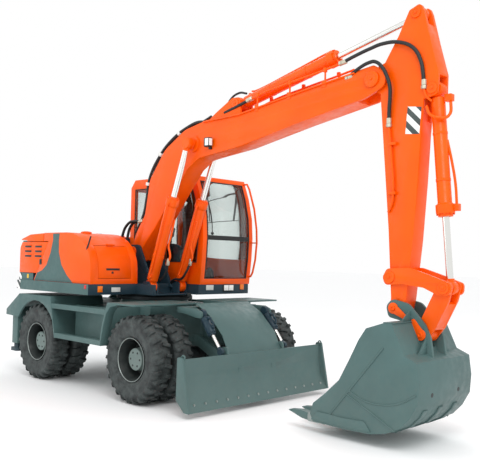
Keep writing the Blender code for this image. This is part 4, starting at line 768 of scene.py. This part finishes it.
def cushion(name, middle, size, lean):
    """A crowned foam cushion with a sewn border, its sides pulled in between the corners."""
    bpy.ops.object.select_all(action="DESELECT")
    bpy.ops.mesh.primitive_cube_add(size=1, scale=size)
    piece = bpy.context.object
    bpy.ops.object.transform_apply(location=False, rotation=False, scale=True)
    with whole_mesh():
        bpy.ops.mesh.subdivide(number_cuts=9)
    for vertex in piece.data.vertices:
        u, v, w = (2 * vertex.co[i] / size[i] for i in range(3))
        crown = (1 - u * u) * (1 - v * v)
        pull = 1 - 0.05 * (1 - w * w)
        seam = 0.10 * math.exp(-(((abs(v) - 0.62) / 0.05) ** 2)) * (1 if w > 0.5 else 0)
        vertex.co = (vertex.co.x * pull, vertex.co.y * pull, vertex.co.z * (0.72 + 0.28 * crown - seam))
    rounding = piece.modifiers.new("soft edges", "SUBSURF")
    rounding.levels = rounding.render_levels = 2
    active_only(piece)
    bpy.ops.object.modifier_apply(modifier=rounding.name)
    bpy.ops.object.shade_smooth()
    moved(piece, set_at(*middle) @ turn_by(lean, "Y"))
    belongs(piece, name, seat_cloth, "upper", "seat_cloth", "seat")
    return piece


seat_base = joined([
    slab((-0.62, -0.14), (0.57, 0.95), (1.437, 1.60), 0.02),
    slab((-0.56, -0.20), (0.62, 0.90), (1.60, 1.735), 0.015),
])
belongs(seat_base, "seat_base", black_plastic, "upper", "seat_cloth", "seat")
cushion("seat_cushion", (-0.37, 0.76, 1.80), (0.56, 0.50, 0.13), 4)
cushion("seat_back", (-0.69, 0.76, 2.17), (0.13, 0.46, 0.72), -9)
cushion("head_rest", (-0.73, 0.76, 2.53), (0.10, 0.28, 0.13), -9)
WHEEL_AT = (0.27, 0.76, 2.00)
tilt = set_at(*WHEEL_AT) @ turn_by(-28, "Y")
rim_points = [
    Vector((0.175 * math.cos(math.tau * i / 24), 0.175 * math.sin(math.tau * i / 24), 0))
    for i in range(25)
]
controls = [
    moved(tube(rim_points, 0.013, resolution=2), tilt),
    moved(turned_piece([(0.03, -0.05), (0.045, -0.01), (0.045, 0.012), (0.03, 0.018)], 28), tilt),
    pipe([(0.46, 0.76, 1.44), (0.44, 0.76, 1.70), (0.30, 0.76, 1.96)], 0.035),
    slab((0.30, 0.58), (0.62, 0.90), (1.437, 1.50), 0.015),
    slab((-0.10, 0.62), (0.31, 1.18), (1.4365, 1.444), 0.003),
    slab((0.42, 0.52), (0.34, 0.42), (1.85, 2.02), 0.02),
]
for angle in (90, 210, 330):
    spoke = turn_by(angle, "Z")
    controls.append(moved(tube([Vector((0.03, 0, 0)), Vector((0.172, 0, 0))], 0.008), tilt @ spoke))
for y in (0.40, 1.10):
    controls.append(pipe([(-0.10, y, 1.95), (-0.09, y, 2.06), (-0.07, y, 2.10)], 0.012))
    grip = turned_piece([(0.014, 0.0), (0.020, 0.03), (0.022, 0.08), (0.026, 0.11), (0.018, 0.125)], 20)
    controls.append(moved(grip, set_at(-0.07, y, 2.08) @ turn_by(8, "Y")))
controls.append(slab((-0.50, 0.02), (1.04, 1.16), (1.437, 1.96), 0.02))
belongs(controls, "steering_wheel_and_levers", black_plastic, "upper", "dark_paint")

# Arm hydraulics. Bent steel feed pipes painted with the boom and held by welded clamps; black
# rubber hoses with zinc-plated crimped ends where the pipes cross a joint or loop to the valves.
hose_rubber = grained_plastic("black hose rubber", "1A1E20", 220.0, 0.55)
clamp_white = enamel("white clamp enamel", "E4E6E2", 0.4, 0.0, 0.0)


def hose_ends(name, body, places, radius=0.026):
    """Zinc-plated hose ends: at each place a crimped ferrule and a hexagon nut, aimed along a way."""
    parts = []
    for place, way in places:
        stand = aimed(spot(*place), spot(*place) + Vector(way))
        ferrule = turned_piece([
            (radius * 0.8, -0.055), (radius, -0.05), (radius, 0.0), (radius * 0.75, 0.004),
        ], 20)
        nut = turned_piece([(radius * 1.15, 0.004), (radius * 1.15, 0.034), (radius * 0.9, 0.040)], 6)
        parts += [moved(ferrule, stand), moved(nut, stand)]
    belongs(parts, name, zinc, body, "chrome")


RIGHT_PIPE_Y, LEFT_PIPE_Y, PIPE_RADIUS, HOSE_RADIUS = -0.232, 0.012, 0.013, 0.019
rails = [
    pipe([
        (1.30, RIGHT_PIPE_Y, 3.43), (1.80, RIGHT_PIPE_Y, 3.50), (2.28, RIGHT_PIPE_Y, 3.555),
        (2.82, RIGHT_PIPE_Y, 3.615), (3.34, RIGHT_PIPE_Y, 3.675), (3.50, RIGHT_PIPE_Y, 3.705),
    ], PIPE_RADIUS),
    pipe([
        (2.03, LEFT_PIPE_Y, 3.66), (2.29, LEFT_PIPE_Y, 3.72), (2.68, LEFT_PIPE_Y, 3.775),
        (3.21, LEFT_PIPE_Y, 3.84), (3.42, LEFT_PIPE_Y, 3.87),
    ], PIPE_RADIUS),
    pipe([
        (2.03, RIGHT_PIPE_Y, 3.69), (2.29, RIGHT_PIPE_Y, 3.745), (2.68, RIGHT_PIPE_Y, 3.795),
        (3.21, RIGHT_PIPE_Y, 3.855), (3.42, RIGHT_PIPE_Y, 3.885),
    ], PIPE_RADIUS),
]
for x, z, foot in ((2.19, 3.735, 3.57), (2.70, 3.803, 3.64), (3.21, 3.857, 3.71)):
    for y in (RIGHT_PIPE_Y, LEFT_PIPE_Y):
        rails.append(slab((x - 0.018, x + 0.018), (y - 0.017, y + 0.017), (z - 0.030, z + 0.022), 0.005))
        rails.append(slab((x - 0.010, x + 0.010), (y - 0.006, y + 0.006), (foot - 0.02, z - 0.01), 0.003))
    rails.append(slab((x - 0.03, x + 0.03), (-0.256, -0.246), (z - 0.20, z - 0.12), 0.003))
flange_line = [
    (1.25, 3.515), (1.90, 3.525), (2.867, 3.651), (3.62, 3.735), (3.62, 3.75), (2.867, 3.668), (1.90, 3.541),
    (1.25, 3.532),
]
rails.append(side_piece(flange_line, -0.268, 0.048, 0.002))
belongs(rails, "boom_feed_pipes", orange_enamel, "boom", "orange_paint")
stick_pipes = [
    pipe([
        (4.032, -0.228, 3.12), (4.06, -0.228, 2.85), (4.088, -0.228, 2.42), (4.07, -0.226, 2.33),
        (4.03, -0.222, 2.26),
    ], 0.012),
    pipe([(4.42, -0.222, 3.45), (4.44, -0.215, 3.38), (4.48, -0.18, 3.33)], 0.012),
]
for z in (2.95, 2.45):
    stick_pipes.append(slab((4.03, 4.12), (-0.244, -0.206), (z - 0.015, z + 0.015), 0.004))
belongs(stick_pipes, "stick_feed_pipes", orange_enamel, "stick", "orange_paint")
elbow_hoses = [
    [
        (3.42, RIGHT_PIPE_Y, 3.885), (3.60, -0.245, 3.925), (3.805, -0.250, 3.965), (3.955, -0.25, 3.985),
        (4.157, -0.245, 3.96), (4.31, -0.240, 3.871), (4.385, -0.236, 3.742), (4.413, -0.232, 3.605),
        (4.418, -0.226, 3.50),
    ],
    [
        (3.50, RIGHT_PIPE_Y, 3.705), (3.66, -0.258, 3.775), (3.807, -0.268, 3.815), (3.877, -0.268, 3.812),
        (3.959, -0.262, 3.745), (4.017, -0.254, 3.637), (4.047, -0.248, 3.534), (4.048, -0.242, 3.436),
        (4.036, -0.236, 3.292), (4.032, -0.230, 3.17),
    ],
]
for number, route in enumerate(elbow_hoses):
    hose = pipe(route, HOSE_RADIUS)
    belongs(hose, f"elbow_hose_{number + 1}", hose_rubber, None, "dark_paint")
    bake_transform(hose)
hose_ends("stick_hose_ends", "stick", [
    ((4.42, -0.224, 3.49), (0, 0, -1)), ((4.032, -0.230, 3.16), (0, 0, -1)),
])
boom_ends = [
    ((3.44, RIGHT_PIPE_Y, 3.89), (-1, 0, -0.12)), ((3.53, -0.235, 3.715), (-1, 0, -0.2)),
    ((1.32, -0.20, 3.50), (1, 0, 0.1)), ((2.06, RIGHT_PIPE_Y, 3.70), (1, 0, 0.2)),
]
hose_ends("boom_hose_ends", "boom", boom_ends)
back_hoses = []
for y in (-0.215, -0.165, -0.055):
    back_hoses.append(
        pipe([
            (-0.20, y, 2.10), (-0.03, y, 2.36), (0.035, y, 2.60), (0.085, y, 2.86), (0.31, y, 3.17),
            (0.58, y, 3.375), (0.88, y, 3.50), (1.12, y, 3.545), (1.30, y, 3.51 if y < -0.2 else 3.60),
        ], HOSE_RADIUS)
    )
back_hoses.append(
    pipe([(1.45, -0.06, 3.66), (1.55, -0.07, 3.80), (1.72, -0.08, 3.86), (1.86, -0.09, 3.83)], 0.014)
)
back_hoses.append(
    pipe([(1.60, -0.215, 3.60), (1.82, -0.225, 3.645), (2.03, RIGHT_PIPE_Y, 3.69)], HOSE_RADIUS)
)
belongs(back_hoses, "boom_back_hoses", hose_rubber, "boom", "dark_paint")
clamps = []
for x, z, lean in ((0.068, 2.79, 78), (0.335, 3.19, 48), (0.72, 3.445, 25)):
    band = slab((x - 0.022, x + 0.022), (-0.245, -0.030), (z - 0.034, z + 0.030), 0.006)
    middle = set_at(x, 0, z)
    clamps.append(moved(band, middle @ turn_by(-lean, "Y") @ middle.inverted()))
belongs(clamps, "boom_hose_clamps", clamp_white, "boom", "dark_paint")
for number, (y, x, reach) in enumerate((
    (-0.235, -0.50, 2.24), (-0.19, -0.43, 2.235), (-0.06, -0.36, 2.23), (-0.01, -0.28, 2.22),
)):
    route = [
        (-0.06, y, 2.26), (-0.18, y, reach + 0.03), ((x - 0.1) / 2 - 0.06, y, reach), (x, y, 2.06),
        (x + 0.01, y, 1.80), (x + 0.03, y, 1.45),
    ]
    hose = pipe(route, 0.020)
    belongs(hose, f"valve_hose_{number + 1}", hose_rubber, None, "dark_paint")
    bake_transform(hose)
foot_ends = [((-0.05, y, 2.265), (1, 0, 0.25)) for y in (-0.235, -0.19, -0.06, -0.01)]
hose_ends("boom_foot_fittings", "boom", foot_ends, 0.028)

# Boom lamp and hazard board. A black cast lamp with a clear lens on a bracket beside the boom, and
# a board on the stick with black and white diagonal bars.
lens, shader, place = new_material("ribbed lamp lens", {"Base Color": linear("F4F6F4"), "Roughness": 0.12})
ribs = node(lens, "ShaderNodeTexWave", {"Vector": place, "Scale": 40.0}, bands_direction="Z")
relief(lens, shader, ribs.outputs["Fac"], 0.3, 0.002)
lamp_body = joined([
    slab((1.355, 1.455), (-0.345, -0.275), (3.175, 3.295), 0.014),
    slab((1.38, 1.42), (-0.28, -0.251), (3.15, 3.20), 0.004),
])
belongs(lamp_body, "boom_lamp", black_plastic, "boom", "dark_paint")
belongs(
    slab((1.450, 1.459), (-0.335, -0.285), (3.190, 3.280), 0.004), "boom_lamp_lens", lens, "boom", "glass",
)
side_lens = slab((1.385, 1.448), (-0.3490, -0.343), (3.190, 3.280), 0.003)
belongs(side_lens, "boom_lamp_side_lens", lens, "boom", "glass")
hazard, shader, place = new_material("black and white hazard film")
split = node(hazard, "ShaderNodeSeparateXYZ", {"Vector": place})
slope = reckon(hazard, "ADD", split.outputs["X"], split.outputs["Z"])
turns = reckon(hazard, "MULTIPLY", slope, 1 / 0.150)
step_in = reckon(hazard, "FRACT", turns)
black_bar = reckon(hazard, "LESS_THAN", step_in, 0.48)
bars = node(hazard, "ShaderNodeMix", {
    "Factor": black_bar, "A": linear("F2F2F0"), "B": linear("3F4848"),
}, data_type="RGBA")
into(shader, "Base Color", bars.outputs["Result"])
into(shader, "Roughness", noise(hazard, place, 20.0))
board = side_piece([(4.234, 3.305), (4.389, 3.283), (4.366, 3.017), (4.211, 3.035)], -0.2135, -0.2095, 0.001)
belongs(board, "hazard_board", hazard, "stick", "dark_paint")

# Side panels. A grey-green band sprayed over the right cover, pressed louvres and latches on the engine
# doors, with thin black slabs as painted shade in the louvre openings, a slot handle on the cover's front
# door, and a mirror and a filler cap screwed on.
SIDE = -1.22
band_line = [
    (-0.758, 2.058), (-0.753, 1.969), (-0.81, 1.795), (-0.913, 1.619), (-1.03, 1.54), (-1.17, 1.50),
    (-1.245, 1.393), (-0.215, 1.393), (-0.246, 1.411), (-0.376, 1.496), (-0.513, 1.628), (-0.588, 1.797),
    (-0.598, 1.968), (-0.581, 2.058),
]
band = joined([
    side_piece(band_line, SIDE - 0.0016, SIDE + 0.004),
    slab((-0.758, -0.581), (SIDE + 0.012, -0.47), (2.066, 2.0716), 0.0005),
])
belongs(band, "cover_band", green_enamel, "upper", "grey_green_paint")
# Painted shade: each louvre opening is a thin black slab on the door, dark where the gap under the lip is shaded.
louvre_shade_slabs, lips = [], []
for x in (-1.45, -1.155):
    for z in (1.743, 1.812, 1.881):
        louvre_shade_slabs.append(
            slab((x - 0.095, x + 0.095), (SIDE - 0.0012, SIDE + 0.004), (z - 0.020, z + 0.012), 0.0005)
        )
        lip = side_piece([
            (x - 0.10, z + 0.008), (x + 0.10, z + 0.008), (x + 0.094, z + 0.022), (x - 0.094, z + 0.022),
        ], SIDE - 0.012, SIDE + 0.004, 0.003)
        lips.append(lip)
belongs(louvre_shade_slabs, "engine_door_slot_painted_shade", black_plastic, "right_engine_door", "dark_paint")
belongs(lips, "engine_door_louvres", orange_enamel, "right_engine_door", "orange_paint")
for side, hand in (("right", -1), ("left", 1)):
    latch = [slab((-1.11, -1.05), sorted((hand * 1.219, hand * 1.226)), (1.62, 1.70), 0.003)]
    latch.append(slab((-1.09, -1.07), sorted((hand * 1.224, hand * 1.231)), (1.64, 1.68), 0.002))
    belongs(latch, side + "_engine_door_latch", black_plastic, side + "_engine_door", "dark_paint")
handle_set = [
    slab((0.2065, 0.2105), (-0.978, -0.767), (1.572, 1.598), 0.001),
    slab((0.206, 0.212), (-0.893, -0.865), (1.527, 1.555), 0.002),
]
belongs(handle_set, "cover_door_handle", black_plastic, "right_cover_door", "dark_paint")
cap = moved(
    turned_piece([(0.075, -0.01), (0.075, 0.012), (0.055, 0.022), (0.02, 0.026)], 36),
    set_at(-0.344, -0.95, 2.07),
)
belongs(cap, "filler_cap", orange_enamel, "upper", "orange_paint")
mirror = [
    pipe([(0.06, -1.17, 1.80), (0.08, -1.205, 1.82), (0.125, -1.205, 1.92), (0.168, -1.205, 2.012)], 0.011),
    slab((0.075, 0.10), (-1.214, -1.196), (1.80, 1.845), 0.006),
]
belongs(mirror, "right_mirror", black_plastic, "upper", "dark_paint")
hood_lines = [
    slab((-1.60, -1.14), (y - 0.012, y + 0.012), (2.07, 2.088), 0.004)
    for y in (-0.75, -0.25, 0.25, 0.75)
]
hood_handle = pipe([
    (-1.66, -0.12, 2.03), (-1.69, -0.12, 2.03), (-1.69, 0.12, 2.03), (-1.66, 0.12, 2.03),
], 0.008)
belongs([*hood_lines, hood_handle], "hood_ribs_and_handle", orange_enamel, "engine_hood", "orange_paint")

# Lamps, reflectors and blank plates. Moulded lamps and film labels screwed or stuck to the deck's front
# faces and corners; every plate is blank.
amber = grained_plastic("amber lamp plastic", "F0780A", 90.0, 0.2)
red_reflector = grained_plastic("red reflector plastic", "C4161A", 140.0, 0.18)
label_film = grained_plastic("pale label film", "C9CFCB", 60.0, 0.35)
yellow_film = grained_plastic("yellow label film", "E9B81C", 60.0, 0.35)
markers = [
    slab((0.208, 0.222), (-1.108, -1.033), (1.285, 1.365), 0.006),
    slab((0.678, 0.692), (1.045, 1.120), (1.308, 1.388), 0.006),
]
belongs(markers, "front_markers", amber, "upper", "glass")
belongs(
    slab((0.115, 0.165), (-1.2535, -1.2485), (1.328, 1.378), 0.002), "right_reflector", red_reflector,
    "upper", "glass",
)
plates = [
    slab((0.2085, 0.213), (-0.89, -0.75), (1.285, 1.345), 0.001),
    slab((0.6785, 0.683), (0.374, 0.514), (1.310, 1.380), 0.001),
]
belongs(plates, "front_plates", label_film, "upper", "dark_paint")
belongs(
    slab((-1.462, -1.412), (-1.2215, -1.218), (1.415, 1.475), 0.001), "side_label", yellow_film, "upper",
    "dark_paint",
)
shells = [
    slab((0.676, 0.69), (0.70, 0.915), (1.285, 1.392), 0.006),
    slab((0.598, 0.622), (0.085, 0.155), (1.21, 1.275), 0.01),
]
belongs(shells, "headlamp_shells", black_plastic, "upper", "dark_paint")
lamps = [slab((0.6885, 0.695), (y, y + 0.088), (1.300, 1.377), 0.004) for y in (0.715, 0.812)]
belongs(lamps, "headlamp_lenses", lens, "upper", "glass")
corners = []
for hand in (-1, 1):
    corners.append(slab((-1.698, -1.620), sorted((hand * 1.2185, hand * 1.2215)), (1.395, 1.487), 0.0008))
    corners.append(slab((-1.698, -1.600), sorted((hand * 1.2485, hand * 1.2515)), (1.258, 1.382), 0.0008))
belongs(corners, "rear_corner_boards", hazard, "upper", "dark_paint")
roof = [
    slab((-0.30, -0.22), (0.33, 1.16), (2.948, 2.972), 0.008),
    moved(turned_piece([(0.055, 0.0), (0.055, 0.02), (0.045, 0.03)], 28), set_at(-0.75, 1.05, 2.948)),
]
belongs(roof, "roof_rail_and_base", black_plastic, "upper", "dark_paint")
beacon = moved(
    turned_piece([(0.042, 0.0), (0.044, 0.06), (0.036, 0.085), (0.012, 0.092)], 28),
    set_at(-0.75, 1.05, 2.977),
)
belongs(beacon, "roof_beacon", amber, "upper", "glass")

# Boom cylinder hoses. Each cylinder's bent feed pipe, painted with it, ends in a zinc-plated fitting
# above its foot, and black hoses drop from there to the valves in the well.
for hand, name in ((-1, "right"), (1, "left")):
    middle = -0.11 + hand * 0.257
    inner = middle - hand * 0.06
    feed = [
        (0.775, inner, 2.26), (0.70, inner, 2.02), (0.662, inner, 1.90), (0.69, inner, 1.83),
        (0.70, inner, 1.76), (0.665, inner, 1.70),
    ]
    belongs(
        pipe(feed, 0.014), name + "_boom_feed_pipe", orange_enamel, name + "_boom_cylinder", "orange_paint",
    )
    hose_ends(name + "_boom_hose_end", name + "_boom_cylinder", [((0.66, inner, 1.69), (-0.2, 0, -1))], 0.022)
    drop = [
        spot(0.65, inner, 1.67), spot(0.60, inner - hand * 0.02, 1.56), spot(0.49, inner - hand * 0.02, 1.46),
        spot(0.36, inner - hand * 0.03, 1.45), spot(0.28, inner - hand * 0.03, 1.40),
    ]
    hose = tube(drop, 0.017)
    belongs(hose, name + "_boom_hose", hose_rubber, None, "dark_paint")
    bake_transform(hose)

# Bucket cylinder pipes. One bent pipe passes round the front of the cylinder's head, and another
# runs down its side to a port block on the gland; both are painted with the cylinder.
ports = [
    pipe([
        (4.44, -0.21, 3.28), (4.49, -0.225, 3.19), (4.57, -0.20, 3.155), (4.635, -0.14, 3.17),
        (4.64, -0.10, 3.34),
    ], 0.015),
    pipe([(4.60, -0.09, 2.95), (4.645, -0.085, 2.75), (4.685, -0.08, 2.52), (4.70, -0.08, 2.33)], 0.013),
    slab((4.665, 4.728), (-0.115, -0.045), (2.26, 2.33), 0.006),
    slab((4.585, 4.66), (-0.135, -0.065), (3.32, 3.39), 0.006),
]
belongs(ports, "bucket_cylinder_pipes", orange_enamel, "bucket_cylinder", "orange_paint")

# Undercarriage fittings. Steel treads bolted across the steps, the painted drive shaft between the
# axles, and on the blade the bolts of its cutting edge and two welded lifting eyes.
treads = []
for hand in (-1, 1):
    for x in range(10):
        at_x = -0.40 + x * 0.065
        treads.append(slab((at_x, at_x + 0.012), sorted((hand * 1.02, hand * 1.22)), (1.058, 1.068), 0.002))
belongs(treads, "step_treads", worn_steel, "chassis", "grey_green_paint")
shaft = [pipe([(-0.90, 0, 0.53), (0.92, 0, 0.53)], 0.038, sides=8, handle="VECTOR")]
for x in (-0.88, -0.30, 0.30, 0.90):
    stand = set_at(x, 0, 0.53) @ turn_by(90, "Y")
    shaft.append(moved(turned_piece([(0.05, -0.03), (0.07, -0.02), (0.07, 0.02), (0.05, 0.03)], 24), stand))
belongs(shaft, "drive_shaft", dark_enamel, "chassis", "dark_paint")
low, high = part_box("blade")
edge_bolts = []
for i in range(14):
    y = low.y + 0.12 + i * (high.y - low.y - 0.24) / 13
    stand = Matrix.Translation(Vector((high.x - 0.048, y, low.z + 0.075))) @ turn_by(84, "Y")
    edge_bolts.append(
        moved(turned_piece([(0.016, -0.02), (0.018, 0.0), (0.014, 0.010), (0.006, 0.012)], 6), stand)
    )
belongs(edge_bolts, "blade_edge_bolts", worn_steel, "blade", "grey_green_paint")
eyes = []
for y in (low.y + 0.03, high.y - 0.03):
    circle = [
        Vector((high.x - 0.14, y, low.z + 0.585)) + Vector((
            0.026 * math.cos(math.tau * i / 12), 0, 0.030 * math.sin(math.tau * i / 12),
        ))
        for i in range(13)
    ]
    eyes.append(tube(circle, 0.009, resolution=3))
belongs(eyes, "blade_lifting_eyes", green_enamel, "blade", "grey_green_paint")

# Bucket wear parts. Plate strips welded round the heel, cast adapters over the teeth, and on each
# cheek a wear plate and long weld seams; all but the adapters are painted with the bucket.
NEAR, FAR = -0.61, 0.39
heel = [(4.57, 0.40), (4.535, 0.338), (4.435, 0.233), (4.28, 0.157), (4.115, 0.121), (3.90, 0.114)]


def heel_band(y, half, proud):
    """A strip of plate bent round the bucket's heel, which stands proud of the shell."""
    outside, inside = [], []
    for i, (x, z) in enumerate(heel):
        before, after = heel[max(i - 1, 0)], heel[min(i + 1, len(heel) - 1)]
        way = Vector((after[0] - before[0], after[1] - before[1])).normalized()
        outside.append((x - way.y * proud, z + way.x * proud))
        inside.append((x + way.y * proud / 2, z - way.x * proud / 2))
    return side_piece(outside + inside[::-1], y - half, y + half, 0.002)


strips = [heel_band(y, 0.035, 0.012) for y in (-0.40, -0.11, 0.18)]
belongs(strips, "bucket_heel_strips", green_enamel, "bucket", "grey_green_paint")
wear = []
for side_y, hand in ((NEAR, -1), (FAR, 1)):
    limits = sorted((side_y - hand * 0.004, side_y + hand * 0.009))
    wear.append(
        side_piece([
            (3.40, 0.142), (3.86, 0.135), (4.12, 0.148), (4.05, 0.235), (3.80, 0.225), (3.47, 0.235),
        ], *limits, 0.003)
    )
    skin = side_y + hand * 0.001
    for seam in (
        [(3.56, 0.14), (3.80, 0.42), (4.03, 0.69), (4.25, 0.95)],
        [(3.86, 0.50), (4.05, 0.43), (4.22, 0.42), (4.42, 0.46), (4.60, 0.56)],
        [(3.84, 0.46), (4.12, 0.33), (4.38, 0.20)],
    ):
        wear.append(tube([spot(x, skin, z) for x, z in seam], 0.008, resolution=4))
wear.append(slab((4.235, 4.345), (NEAR + 0.01, FAR - 0.01), (1.184, 1.1935), 0.003))
belongs(wear, "bucket_wear_plates", green_enamel, "bucket", "grey_green_paint")
adapters = []
for i in range(5):
    y = NEAR + 0.07 + i * 0.215
    adapters.append(slab((3.33, 3.56), (y - 0.055, y + 0.055), (0.1065, 0.1995), 0.018))
    adapters.append(slab((3.395, 3.425), (y - 0.061, y + 0.061), (0.135, 0.175), 0.006))
belongs(adapters, "bucket_tooth_adapters", worn_steel, "bucket", "grey_green_paint")
gussets = []
for hand, ear_face in ((-1, -0.249), (1, 0.029)):
    for x, z, height in ((4.49, 0.888, 0.15), (4.31, 1.19, 0.10)):
        lay = Matrix(((0, 0, 1, SLEW_X + x), (hand, 0, 0, ear_face), (0, 1, 0, z), (0, 0, 0, 1)))
        gussets.append(
            moved(flat_piece([(0, 0), (0.16, 0), (0.012, height), (0, height)], -0.008, 0.008, 0.002), lay)
        )
belongs(gussets, "bucket_ear_gussets", green_enamel, "bucket", "grey_green_paint")
drains = []
for y in (-0.36, 0.14):
    stand = set_at(4.618, y, 0.54) @ turn_by(94, "Y")
    drains.append(moved(turned_piece([(0.024, -0.004), (0.024, 0.002), (0.012, 0.003)], 20), stand))
belongs(drains, "bucket_drain_plugs", black_plastic, "bucket", "dark_paint")
